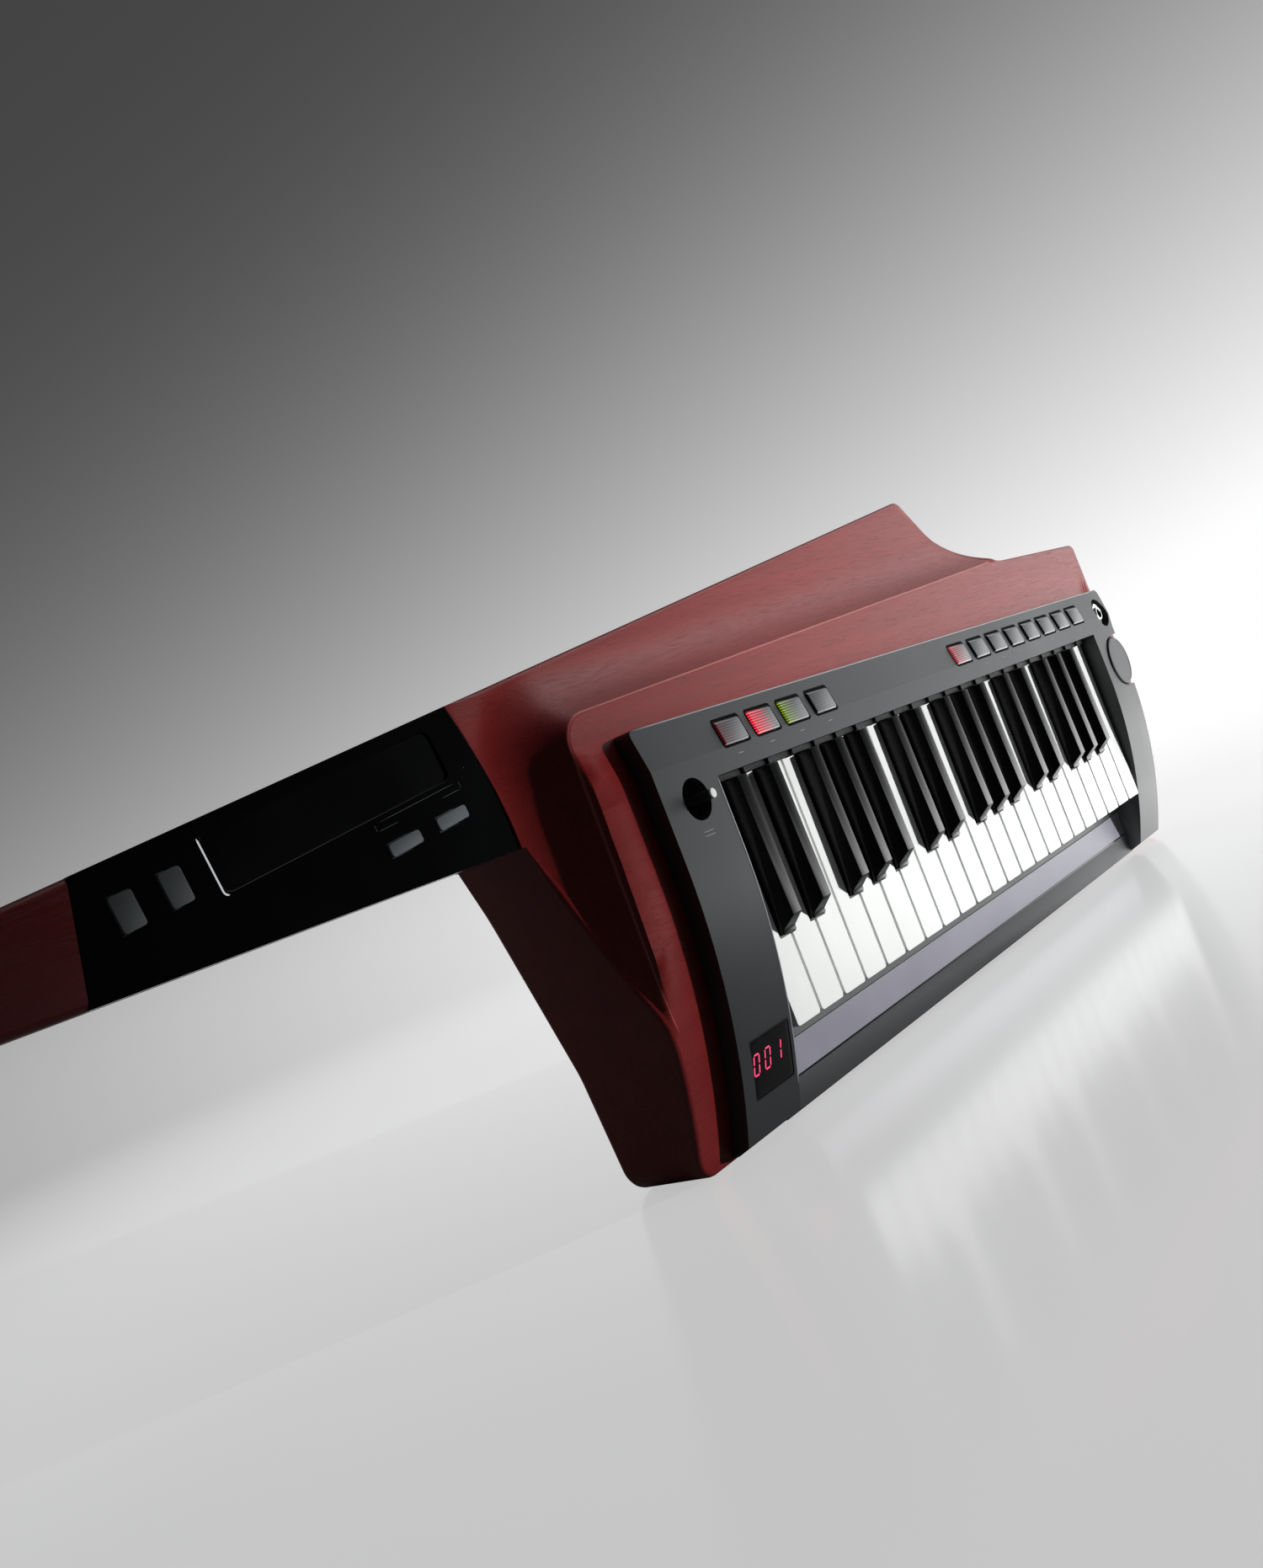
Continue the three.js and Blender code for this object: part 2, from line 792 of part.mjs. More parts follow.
function longRibbon() {
  return box(
    slotLeft + fitGap,
    slotRight - fitGap,
    ribbonLow,
    ribbonHigh,
    recessFloor + ribbonProud - ribbonThickness,
    recessFloor + ribbonProud,
  );
}

function blackCentres() {
  const centres = [];
  for (let line = 1; line < whiteKeyCount; line++) {
    const offset = blackOffsets[line % keysInOctave];
    if (offset !== undefined) centres.push(line * keyPitch + offset);
  }
  return centres;
}

// A white key: a wide front, a tail cut back beside the black keys, and a low end over the pivot rail.
function whiteKey(index) {
  const left = index * keyPitch + keyGap / 2;
  const right = (index + 1) * keyPitch - keyGap / 2;
  const clear = blackBaseWidth / 2 + keyGap;
  const near = blackCentres().filter((x) => Math.abs(x - (left + right) / 2) < keyPitch);
  const tailLeft = Math.max(left, ...near.filter((x) => x < (left + right) / 2).map((x) => x + clear));
  const tailRight = Math.min(right, ...near.filter((x) => x > (left + right) / 2).map((x) => x - clear));
  const shoulderY = keyFrontY + whiteNaturalLength;
  const front = prism(
    roundedOutline([
      [left, keyFrontY, whiteCornerRadius],
      [right, keyFrontY, whiteCornerRadius],
      [right, shoulderY, 0],
      [left, shoulderY, 0],
    ], 3),
    keyTop - whiteSkirt,
    keyTop,
  );
  const tail = box(tailLeft, tailRight, shoulderY - whiteWall, slotTop - keyGap, keyTop - whiteFloor, keyTop);
  const end = box(
    tailLeft,
    tailRight,
    slotTop - keyGap - whiteWall,
    pivotY + tailReach,
    keyTop - whiteFloor - whiteWall,
    keyTop - tailDrop,
  );
  const hollow = box(
    left + whiteWall,
    right - whiteWall,
    keyFrontY + whiteWall,
    shoulderY - whiteWall,
    keyTop - whiteSkirt - overrun,
    keyTop - whiteWall,
  );
  return cut(joined(front, tail, end), hollow);
}

// A black key: a tapered bar with a sloping nose that ends in a small foot.
function blackKey(centre) {
  const frontY = keyFrontY + whiteNaturalLength + keyGap;
  const backY = slotTop - blackRearGap;
  const bottom = keyTop - blackDepth;
  const profile = [
    [frontY, bottom],
    [backY, keyTop - whiteFloor - whiteWall],
    [pivotY + tailReach, keyTop - whiteFloor - whiteWall],
    [pivotY + tailReach, keyTop - tailDrop],
    [backY, keyTop - tailDrop],
    [backY, keyTop + blackRise - blackRearDrop],
    [frontY + blackFootRun + blackNoseRun, keyTop + blackRise],
    [frontY + blackFootRun, keyTop + blackFootRise],
    [frontY, keyTop + blackFootRise],
  ];
  const bar = lane(profile, centre - blackBaseWidth / 2, centre + blackBaseWidth / 2);
  const taper = new THREE.Shape([
    new THREE.Vector2(-blackBaseWidth / 2, -keyTop),
    new THREE.Vector2(blackBaseWidth / 2, -keyTop),
    new THREE.Vector2(blackBaseWidth / 2, 0),
    new THREE.Vector2(blackTopWidth / 2, blackRise),
    new THREE.Vector2(-blackTopWidth / 2, blackRise),
    new THREE.Vector2(-blackBaseWidth / 2, 0),
  ]);
  const length = pivotY + tailReach - frontY + 2 * overrun;
  const wedge = new THREE.ExtrudeGeometry(taper, { depth: length, bevelEnabled: false })
    .rotateX(Math.PI / 2)
    .translate(centre, frontY + length - overrun, keyTop);
  return bar.intersect(solidOf(wedge));
}

// A cap that follows the slope of the button strip, with a bevel all round and a hidden flange.
function buttonCap(x) {
  const length = buttonLength - 2 * runGap;
  const width = buttonWidth - 2 * runGap;
  const low = buttonY - width / 2;
  const high = buttonY + width / 2;
  const stem = lane(
    [
      [low, buttonFlangeHeight],
      [high, buttonFlangeHeight],
      [high, panelHeight(high) + buttonRise - buttonBevel],
      [high - buttonBevel, panelHeight(high - buttonBevel) + buttonRise],
      [low + buttonBevel, panelHeight(low + buttonBevel) + buttonRise],
      [low, panelHeight(low) + buttonRise - buttonBevel],
    ],
    x - length / 2,
    x + length / 2,
  );
  const flange = box(
    x - buttonLength / 2 - buttonFlange,
    x + buttonLength / 2 + buttonFlange,
    low,
    high,
    buttonFlangeHeight,
    buttonFlangeHeight + buttonFlangeThickness,
  );
  return joined(stem, flange);
}

function favouriteButtons() {
  const centres = buttonCentres(favouriteButtonX, favouriteButtonCount);
  const rail = box(
    centres[0],
    centres[favouriteButtonCount - 1],
    buttonY - railWidth / 2,
    buttonY + railWidth / 2,
    buttonFlangeHeight,
    buttonFlangeHeight + buttonFlangeThickness,
  );
  return joined(...centres.map(buttonCap), rail);
}

// The lever: a ball under the panel, a slim stick and a round tip, drawn round its pivot.
function modeLever() {
  const pivot = faceHeight - leverPivotDrop;
  const reach = leverPivotDrop + leverProud;
  const ballShare = 0.3; // where the stick leaves the ball
  const profile = [[0, -leverBallRadius]];
  const steps = 5;
  for (let k = 1; k <= steps; k++) {
    const angle = -Math.PI / 2 + (Math.PI * (1 - ballShare) * k) / steps;
    profile.push([leverBallRadius * Math.cos(angle), leverBallRadius * Math.sin(angle)]);
  }
  profile.push([leverNeckRadius, leverBallRadius * Math.SQRT2]);
  profile.push([leverNeckRadius, reach - 3 * leverTipRadius]);
  profile.push([leverTipRadius, reach - 2 * leverTipRadius]);
  profile.push([leverTipRadius, reach - leverTipRadius / 2]);
  profile.push([leverTipRadius / 2, reach]);
  profile.push([0, reach]);
  return turned(profile.map(([radius, z]) => [radius, z + pivot]), leverX, leverY, 16);
}

function volumeKnob() {
  const front = faceHeight + knobProud;
  const back = front - knobThickness;
  const bevel = knobProud / 2;
  return turned(
    [
      [0, back - knobStemLength],
      [knobStemRadius, back - knobStemLength],
      [knobStemRadius, back],
      [knobRadius, back],
      [knobRadius, front - bevel],
      [knobRadius - bevel, front],
      [0, front],
    ],
    knobX,
    knobY,
    48,
  );
}

function outputJack() {
  const seat = faceHeight - jackWellDepth + fitGap;
  const shoulder = plateauHeight(slotTop) - fitGap;
  const nut = disc(jackX, jackY, jackNutAcross / Math.sqrt(3), seat, seat + jackNutThickness, 6);
  const bush = disc(jackX, jackY, jackBushRadius, shoulder - overrun, seat + jackNutThickness + jackBushRise);
  const body = prism(
    rectangle(jackX, jackY, jackBodySize, jackBodySize),
    shoulder - jackBodyLength,
    shoulder,
  );
  const hole = disc(
    jackX,
    jackY,
    jackHoleRadius,
    shoulder - jackBodyLength + jackFloorGap,
    faceHeight + overrun,
  );
  return cut(joined(nut, bush, body), hole);
}

function mainBoard() {
  const top = boardTop;
  const strip = box(boardLeft, boardRight, boardLow, boardHigh, boardHeight, top);
  const knobWing = box(knobWingLeft, boardRight, knobWingLow, boardLow + overrun, boardHeight, top);
  const leverWingRight = slotLeft - panelWall - fitGap;
  const leverWing = box(leverWingLeft, leverWingRight, leverWingLow, boardHigh, boardHeight, top);
  const encoder = prism(rectangle(knobX, knobY, encoderSize, encoderSize), boardHeight - encoderDepth, top);
  const ballBottom = faceHeight - leverPivotDrop - leverBallRadius - fitGap;
  const leverUnit = prism(
    rectangle(leverX, leverY, leverUnitSize, leverUnitSize),
    ballBottom - leverUnitFloor,
    top,
  );
  return cut(
    joined(strip, knobWing, leverWing, encoder, leverUnit),
    disc(knobX, knobY, knobStemRadius + fitGap, boardHeight - 2 * encoderDepth, top + overrun),
    disc(leverX, leverY, leverBallRadius + runGap, ballBottom, top + overrun),
    prism(
      rectangle(jackX, jackY, jackBodySize + 2 * fitGap, jackBodySize + 2 * fitGap),
      boardHeight - overrun,
      top + overrun,
    ),
  );
}

// A plate with the battery bay behind its lid.
function backCover() {
  const plate = prism(
    rectangle(
      (coverLeft + coverRight) / 2,
      (coverLow + coverHigh) / 2,
      coverRight - coverLeft,
      coverHigh - coverLow,
      coverRadius,
    ),
    0,
    coverThickness,
  );
  const bay = (grow, back, front) =>
    box(bayLeft - grow, bayLeft + bayLength + grow, bayLow - grow, bayLow + bayWidth + grow, back, front);
  return cut(
    joined(plate, bay(bayWall, 0, bayDepth + bayWall)),
    bay(-doorRebate, -overrun, bayDepth),
    bay(0, -overrun, doorThickness + fitGap),
    bay(0, coverThickness, bayDepth),
  );
}

function batteryDoor() {
  return box(
    bayLeft + doorGap,
    bayLeft + bayLength - doorGap,
    bayLow + doorGap,
    bayLow + bayWidth - doorGap,
    0,
    doorThickness,
  );
}

// A tray on two end feet, with the rest rail at the front and the pivot rail at the back.
function keyChassis() {
  const top = chassisFloor + chassisThickness;
  const tray = box(chassisLeft, chassisRight, chassisLow, chassisHigh, chassisFloor, top);
  const foot = (left) =>
    box(left, left + chassisEnd, chassisLow, chassisHigh, pocketFloor + fitGap, chassisFloor);
  const pivotRail = box(
    0,
    keyboardLength,
    pivotY - pivotRailWidth / 2,
    pivotY + pivotRailWidth / 2,
    chassisFloor,
    keyTop - whiteFloor - whiteWall - fitGap,
  );
  const restRail = box(
    0,
    keyboardLength,
    restRailY,
    restRailY + restRailWidth,
    chassisFloor,
    keyTop - whiteSkirt - keyTravel - restGap,
  );
  return joined(tray, foot(chassisLeft), foot(chassisRight - chassisEnd), pivotRail, restRail);
}

function neckPanelOutline(shrink = 0) {
  const low = neckBottom + shrink;
  const points = [new THREE.Vector2(neckPanelLeftLow + shrink, low)];
  for (let k = 0; k <= neckPanelEdgeSteps; k++) {
    const share = k / neckPanelEdgeSteps;
    const x = neckPanelRightLow + (wingStartX - neckPanelRightLow) * share ** 2 - shrink;
    points.push(new THREE.Vector2(x, low + (topEdge(wingStartX) - shrink - low) * share));
  }
  points.push(new THREE.Vector2(neckPanelLeftTop + shrink, topEdge(neckPanelLeftTop) - shrink));
  return points;
}

// A place on the neck, u along the top edge and v away from it, as X and Y.
function onNeck(u, v) {
  const place = new THREE.Vector2(u, v).rotateAround(new THREE.Vector2(), neckAngle);
  return [wingStartX + place.x, wingStartY + place.y];
}

// A rounded rectangle laid along the slope of the neck, raised from one height to another.
function neckBlock(u, v, length, width, low, high, radius = neckButtonRadius) {
  const [x, y] = onNeck(u, v);
  const turn = new THREE.Vector2();
  const points = rectangle(0, 0, length, width, radius).map((p) => p.rotateAround(turn, neckAngle));
  return prism(points.map((p) => new THREE.Vector2(p.x + x, p.y + y)), low, high);
}

function padWell() {
  return neckBlock(
    padLeft + padLength / 2,
    padHigh - padWidth / 2,
    padLength,
    padWidth,
    wingHeight - padRecess - padThickness - fitGap,
    wingHeight + overrun,
    padRadius,
  );
}

function neckPanel() {
  const back = wingHeight - neckPanelThickness;
  const holes = [
    ...largeButtonPlaces.map((u) => [u, largeButtonV, largeButtonLength, largeButtonWidth]),
    ...smallButtonPlaces.map((u) => [u, smallButtonV, smallButtonLength, smallButtonWidth]),
  ];
  const cuts = holes.flatMap(([u, v, length, width]) => [
    neckBlock(u, v, length, width, back - overrun, wingHeight + overrun),
    neckBlock(
      u,
      v,
      length + 2 * neckButtonFlange,
      width + 2 * neckButtonFlange,
      back - overrun,
      back + neckButtonHollow,
    ),
  ]);
  return cut(
    prism(neckPanelOutline(), back, wingHeight),
    padWell(),
    ...cuts,
  );
}

function shortRibbon() {
  return neckBlock(
    padLeft + padLength / 2,
    padHigh - padWidth / 2,
    padLength - 2 * fitGap,
    padWidth - 2 * fitGap,
    wingHeight - padRecess - padThickness,
    wingHeight - padRecess,
    padRadius - fitGap,
  );
}

function neckButton(u, v, length, width) {
  const back = wingHeight - neckPanelThickness + neckButtonTravel + fitGap;
  const flangeGap = neckButtonFlange - runGap;
  return joined(
    neckBlock(u, v, length - 2 * runGap, width - 2 * runGap, back, wingHeight + neckButtonRise),
    neckBlock(
      u,
      v,
      length + 2 * flangeGap,
      width + 2 * flangeGap,
      back,
      wingHeight - neckPanelThickness + neckButtonHollow - fitGap,
    ),
  );
}

// A strap button on its own axis: a base, a waist and a flat head.
function strapButton() {
  return turned(
    [
      [0, 0],
      [strapBaseRadius, 0],
      [strapBaseRadius, strapBaseThickness],
      [strapNeckRadius, strapBaseThickness * 2],
      [strapNeckRadius, strapLength - strapHeadThickness * 2],
      [strapHeadRadius, strapLength - strapHeadThickness],
      [strapHeadRadius, strapLength],
      [0, strapLength],
    ],
    0,
    0,
  );
}

const lying = new THREE.Group();

function place(name, solid, material) {
  const { vertProperties, triVerts } = solid.getMesh();
  const geometry = new THREE.BufferGeometry();
  geometry.setAttribute("position", new THREE.BufferAttribute(vertProperties, 3));
  geometry.setIndex(new THREE.BufferAttribute(triVerts, 1));
  const mesh = new THREE.Mesh(geometry, material);
  mesh.name = name;
  lying.add(mesh);
  return mesh;
}

const twoDigits = (n) => String(n).padStart(2, "0");

place("wood_body", woodBody(), materials.stainedWood);
place("front_panel", frontPanel(), materials.charcoalShell);
place("back_cover", backCover(), materials.chassisBlack);
place("battery_door", batteryDoor(), materials.chassisBlack);
place("key_chassis", keyChassis(), materials.chassisBlack);
place("main_board", mainBoard(), materials.circuitGreen);
place("long_ribbon", longRibbon(), materials.ribbonGrey);
place("output_jack", outputJack(), materials.chrome);
place("volume_knob", volumeKnob(), materials.buttonGrey);
place("mode_lever", modeLever(), materials.keyBlack);
place("neck_panel", neckPanel(), materials.glossBlack);
place("short_ribbon", shortRibbon(), materials.glossBlack);
for (let k = 0; k < whiteKeyCount; k++) {
  place(`white_key_${twoDigits(k + 1)}`, whiteKey(k), materials.ivoryWhite);
}
blackCentres().forEach((centre, k) => {
  place(`black_key_${twoDigits(k + 1)}`, blackKey(centre), materials.keyBlack);
});
buttonCentres(functionButtonX, functionButtonCount).forEach((x, k) => {
  place(`function_button_${k + 1}`, buttonCap(x), materials.buttonGrey);
});
place("favourite_buttons", favouriteButtons(), materials.buttonGrey);
[
  ...largeButtonPlaces.map((u) => [u, largeButtonV, largeButtonLength, largeButtonWidth]),
  ...smallButtonPlaces.map((u) => [u, smallButtonV, smallButtonLength, smallButtonWidth]),
].forEach(([u, v, length, width], k) => {
  place(`neck_button_${k + 1}`, neckButton(u, v, length, width), materials.buttonGrey);
});
const neckPin = place("strap_pin_neck", strapButton(), materials.chrome);
neckPin.position.set(strapNeckX, strapNeckY, neckBack - fitGap);
neckPin.rotation.x = Math.PI;
const bodyPin = place("strap_pin_body", strapButton(), materials.chrome);
bodyPin.position.set(woodRight + fitGap, strapBodyY, strapBodyZ);
bodyPin.rotation.y = Math.PI / 2;

// The instrument stands on its lower edge, centred over the origin.
const bounds = new THREE.Box3().setFromObject(lying);
lying.position.set(-(bounds.min.x + bounds.max.x) / 2, -(bounds.min.y), -(bounds.min.z + bounds.max.z) / 2);
const standing = new THREE.Group();
standing.add(lying);
standing.rotation.x = Math.PI / 2;
const keytar = new THREE.Group();
keytar.add(standing);

export default keytar;
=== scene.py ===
import math

import bmesh
import bpy
import numpy as np
from mathutils import Matrix, Vector


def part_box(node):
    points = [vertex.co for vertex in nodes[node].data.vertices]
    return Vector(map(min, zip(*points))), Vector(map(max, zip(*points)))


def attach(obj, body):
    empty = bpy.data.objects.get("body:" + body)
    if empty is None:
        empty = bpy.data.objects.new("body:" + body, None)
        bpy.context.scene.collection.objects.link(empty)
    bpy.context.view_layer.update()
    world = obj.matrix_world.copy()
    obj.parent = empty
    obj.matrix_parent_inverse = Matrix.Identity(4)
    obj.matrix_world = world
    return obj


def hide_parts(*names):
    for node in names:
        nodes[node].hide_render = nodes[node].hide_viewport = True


# A keytar with 37 mini keys. Sizes are in millimetres in the part's own lying frame:
# X along the keys from the first white key, Y up the face from the lower edge, Z out of the face.

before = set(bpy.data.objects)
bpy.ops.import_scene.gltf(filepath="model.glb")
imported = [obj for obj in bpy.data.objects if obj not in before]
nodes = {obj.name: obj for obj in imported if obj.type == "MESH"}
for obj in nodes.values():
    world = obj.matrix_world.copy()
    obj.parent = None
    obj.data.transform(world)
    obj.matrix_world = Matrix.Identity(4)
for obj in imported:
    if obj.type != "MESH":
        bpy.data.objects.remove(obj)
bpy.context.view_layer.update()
millimetre = 0.001

keyboard = {"pitch": 20.2, "whiteKeys": 22, "gap": 0.9, "topZ": 59.4, "slimBy": 0.7}
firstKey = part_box("white_key_01")[0]
originX = keyboard["gap"] / 2 - firstKey.x / millimetre
originZ = keyboard["topZ"] + firstKey.y / millimetre
print("frame loaded, origin at", round(originX, 2), round(originZ, 2))


# The part's X, Y, Z in millimetres become the frame's metres: x = X - origin, y = origin - Z, z = Y.
def standing(points):
    points = np.asarray(points, float)
    x, y, z = points[..., 0], points[..., 1], points[..., 2]
    return np.stack([x - originX, originZ - z, y], -1) * millimetre


# An sRGB hex colour as linear red, green, blue and alpha.
def paint(hexText):
    parts = np.array([int(hexText[k : k + 2], 16) for k in (1, 3, 5)]) / 255
    low, high = parts / 12.92, ((parts + 0.055) / 1.055) ** 2.4
    return (*np.where(parts <= 0.04045, low, high).tolist(), 1.0)


# Adds a shader node with its settings, and gives its inputs a value or a link each, by name or in order. A node given
# as an input stands for its first output.
def addNode(tree, kind, inputs=(), **settings):
    node = tree.nodes.new("ShaderNode" + kind)
    for key, value in settings.items():
        setattr(node, key, value)
    for key, value in inputs.items() if isinstance(inputs, dict) else enumerate(inputs):
        if isinstance(value, bpy.types.Node):
            value = value.outputs[0]
        if isinstance(value, bpy.types.NodeSocket):
            tree.links.new(value, node.inputs[key])
        else:
            node.inputs[key].default_value = value
    return node


# An empty material and its tree, with Object coordinates in millimetres.
def newMaterial(name):
    material = bpy.data.materials.new(name)
    material.use_nodes = True
    tree = material.node_tree
    tree.nodes.clear()
    place = addNode(tree, "TexCoord")
    mm = addNode(tree, "Mapping", {"Vector": place.outputs["Object"], "Scale": (1000, 1000, 1000)})
    return material, tree, mm


# Ends a material with one Principled shader, whose inputs are values, nodes or sockets.
def shaded(material, inputs):
    principled = addNode(material.node_tree, "BsdfPrincipled", inputs)
    addNode(material.node_tree, "OutputMaterial", {"Surface": principled})
    return material


# The last tone is a highlight painted along the crest.
grain = {"figure": (160, 9), "pores": (14, 0.5), "stain": ("#711e1e", "#7f2525"), "poreTone": "#3a0d0c",
         "crestHighlightTone": "#b0625e"}


# Open-pored hardwood, stained red and sprayed with satin lacquer: long fine pores, a soft broad sheen. The figure is
# as wide as in real boards, and the pores are drawn twice as wide as real ones, so that they show. A point attribute
# is 1 along the crest, where a paler tone is painted as a highlight on the rounded rim.
def stainedWood():
    material, tree, mm = newMaterial("stained_satin_wood")
    noises = []
    for (length, width), detail, roughness in ((grain["figure"], 5, 0.6), (grain["pores"], 3, 0.7)):
        place = addNode(tree, "Mapping", {"Vector": mm, "Scale": (1 / length, 1 / width, 1 / width)})
        noise = {"Vector": place, "Scale": 1.0, "Detail": detail, "Roughness": roughness}
        noises.append(addNode(tree, "TexNoise", noise))
    figure, pores = noises
    colour = paint(grain["stain"][0])
    wavy = addNode(tree, "MapRange", (figure, 0.3, 0.7))
    flecks = addNode(tree, "MapRange", {0: pores, 1: 0.56, 2: 0.70, 4: 0.6})
    crestHighlight = addNode(tree, "Attribute", attribute_name="crestHighlight", attribute_type="GEOMETRY").outputs["Fac"]
    for share, tone in ((wavy, grain["stain"][1]), (flecks, grain["poreTone"]), (crestHighlight, grain["crestHighlightTone"])):
        colour = addNode(tree, "Mix", {0: share, 6: colour, 7: paint(tone)}, data_type="RGBA").outputs[2]
    rough = addNode(tree, "MapRange", (pores, 0.4, 0.7, 0.36, 0.5))
    sunk = addNode(tree, "MapRange", (pores, 0.5, 0.72, 1.0, 0.0))
    bump = addNode(tree, "Bump", {"Height": sunk, "Distance": 0.05 * millimetre, "Strength": 0.5})
    return shaded(material, {
        "Base Color": colour, "Roughness": rough, "Normal": bump,
        "Coat Weight": 0.1, "Coat Roughness": 0.3, "Specular IOR Level": 0.5,
    })


# Injection-moulded plastic with a spark-eroded texture: an even fine grain that scatters the sheen, drawn a few times
# as coarse as the real tenth of a millimetre so that it shows. Broad clouds vary tone and gloss a little. Print and
# film are made the same way, with less depth.
def mouldedPlastic(name, colours, roughness, grainMm, depthMm, specular=0.5, cloudMm=55):
    material, tree, mm = newMaterial(name)
    texture = addNode(tree, "TexNoise", {"Vector": mm, "Scale": 1 / grainMm, "Detail": 2})
    cloud = addNode(tree, "TexNoise", {"Vector": mm, "Scale": 1 / cloudMm, "Detail": 2})
    share = addNode(tree, "MapRange", (cloud, 0.35, 0.65))
    first, second = (paint(colour) for colour in colours)
    colour = addNode(tree, "Mix", {0: share, 6: first, 7: second}, data_type="RGBA").outputs[2]
    rough = addNode(tree, "MapRange", (cloud, 0.3, 0.7, roughness - 0.04, roughness + 0.04))
    bump = addNode(tree, "Bump", {"Height": texture, "Distance": depthMm * millimetre, "Strength": 1.0})
    return shaded(material, {
        "Base Color": colour, "Roughness": rough, "Normal": bump, "IOR": 1.5, "Specular IOR Level": specular,
    })


# Polished nickel plating or blackened steel: a near mirror with faint turning marks, drawn coarser than real ones.
def polishedMetal(name, colour, roughness, markMm=0.6):
    material, tree, mm = newMaterial(name)
    marks = addNode(tree, "TexNoise", {"Vector": mm, "Scale": 1 / markMm, "Detail": 2})
    rough = addNode(tree, "MapRange", (marks, 0.3, 0.7, roughness, roughness + 0.08))
    return shaded(material, {"Base Color": paint(colour), "Metallic": 1.0, "Roughness": rough})


# Rib pitch, the band and tone of the highlight painted on the lower chamfer, and the two tones of the painted rib
# stripes.
capLook = {"ribPitch": 1.15, "highlightBand": (154.0, 154.7), "highlightTone": "#d4d6d8", "smoke": ("#44474a", "#5b5e60")}


# Smoked translucent cap with fine ribs inside, over a lamp at its left end. The ribs are painted as light and shaded
# stripes, a sine wave over the height that also sets the lamp's glow; the glow fades to the right, and a pale
# highlight is painted along the lower chamfer.
def litCap(name, lampColour, leftMm, rightMm, strength):
    material, tree, mm = newMaterial(name)
    parts = addNode(tree, "SeparateXYZ", {"Vector": mm})
    across, up = parts.outputs[0], parts.outputs[2]
    fade = addNode(tree, "MapRange", (across, leftMm - originX, rightMm - originX, 1.0, 0.0))
    phase = addNode(tree, "Math", (up, 2 * math.pi / capLook["ribPitch"]), operation="MULTIPLY")
    wave = addNode(tree, "Math", (phase,), operation="SINE")
    stripes = addNode(tree, "MapRange", (wave, -0.4, 1.0, 0.12, 1.0))
    shade = addNode(tree, "MapRange", (wave, -0.6, 0.6))
    # The pale band painted along the lower chamfer is a highlight.
    low, high = capLook["highlightBand"]
    highlightBand = addNode(tree, "MapRange", (up, low, high, 1.0, 0.0))
    colour = paint(capLook["smoke"][0])
    for share, tone in ((shade, capLook["smoke"][1]), (highlightBand, capLook["highlightTone"])):
        colour = addNode(tree, "Mix", {0: share, 6: colour, 7: paint(tone)}, data_type="RGBA").outputs[2]
    glow = addNode(tree, "Math", (fade, stripes), operation="MULTIPLY")
    level = addNode(tree, "Math", (glow, strength), operation="MULTIPLY")
    return shaded(material, {
        "Base Color": colour, "Roughness": 0.35, "IOR": 1.5,
        "Emission Color": paint(lampColour), "Emission Strength": level,
    })


# Light-emitting segments behind smoked glass, and a glowing line painted as a highlight: an even glow with soft
# patches.
def steadyGlow(name, colour, strength, patchMm=1.2):
    material, tree, mm = newMaterial(name)
    patch = addNode(tree, "TexNoise", {"Vector": mm, "Scale": 1 / patchMm})
    level = addNode(tree, "MapRange", (patch, 0.3, 0.7, strength * 0.85, strength))
    return shaded(material, {
        "Base Color": paint("#30060a"), "Roughness": 0.4, "Emission Color": paint(colour), "Emission Strength": level,
    })


wood = stainedWood()
# Plastics straight from the mould: a soft even sheen, darker and duller on the black button frames, which are partly
# painted shadow.
shell = mouldedPlastic("moulded_charcoal_shell", ("#2b2d2f", "#323436"), 0.42, 0.35, 0.02)
# Pale grey of the fine edge beads: painted highlight.
edgeHighlightGrey = mouldedPlastic("pale_grey_painted_edge_highlight", ("#86898c", "#8c8f92"), 0.42, 0.4, 0.002)
blackPlastic = mouldedPlastic("moulded_black_plastic", ("#17181a", "#1d1e20"), 0.5, 0.4, 0.03)
# Black of the button frames; their wider right side is painted shadow of the gap.
frameShadowBlack = mouldedPlastic("matt_black_frame_and_painted_shadow", ("#040405", "#060607"), 0.8, 0.4, 0.002, specular=0.1)
neckCap = mouldedPlastic("moulded_grey_neck_caps", ("#62686c", "#6c7276"), 0.5, 0.4, 0.01)
tipWhite = mouldedPlastic("moulded_white_tip", ("#e6e7e6", "#eeeeed"), 0.35, 0.5, 0.01)
# Keys of buffed plastic: smooth, with a clear but soft mirror.
ivory = mouldedPlastic("satin_white_key_plastic", ("#e3e5e3", "#e9ebe9"), 0.25, 0.8, 0.003, specular=0.25)
ebony = mouldedPlastic("satin_black_key_plastic", ("#0a0b0c", "#0e0f10"), 0.26, 0.5, 0.006, specular=0.28)
# Acrylic sheet and tinted glass: sharp reflections over black.
gloss = mouldedPlastic("gloss_black_acrylic", ("#08090a", "#0b0c0d"), 0.08, 3.0, 0.002)
smoked = mouldedPlastic("smoked_display_glass", ("#060608", "#09090b"), 0.12, 3.0, 0.002, specular=0.25)
# Touch films, flat and faintly pearly or satin.
ribbonFilm = mouldedPlastic("pearl_grey_ribbon_film", ("#7e7d88", "#8b8a95"), 0.36, 0.3, 0.003, specular=0.35)
padBlack = mouldedPlastic("satin_black_touch_film", ("#0a0b0c", "#0d0e10"), 0.16, 0.5, 0.004)
# Screen-printed ink, flat and dull, and the lacquer of the circuit board.
printGrey = mouldedPlastic("pale_grey_screen_print", ("#84878a", "#8c8f92"), 0.5, 0.4, 0.002)
lineGrey = mouldedPlastic("dark_grey_screen_print", ("#2b2e30", "#303335"), 0.5, 0.4, 0.002)
boardGreen = mouldedPlastic("green_solder_resist", ("#12301f", "#173a26"), 0.35, 1.2, 0.02)
nickel = polishedMetal("polished_nickel", "#e8e8e6", 0.22)
darkSteel = polishedMetal("blackened_steel_screw", "#2c2d2f", 0.3)
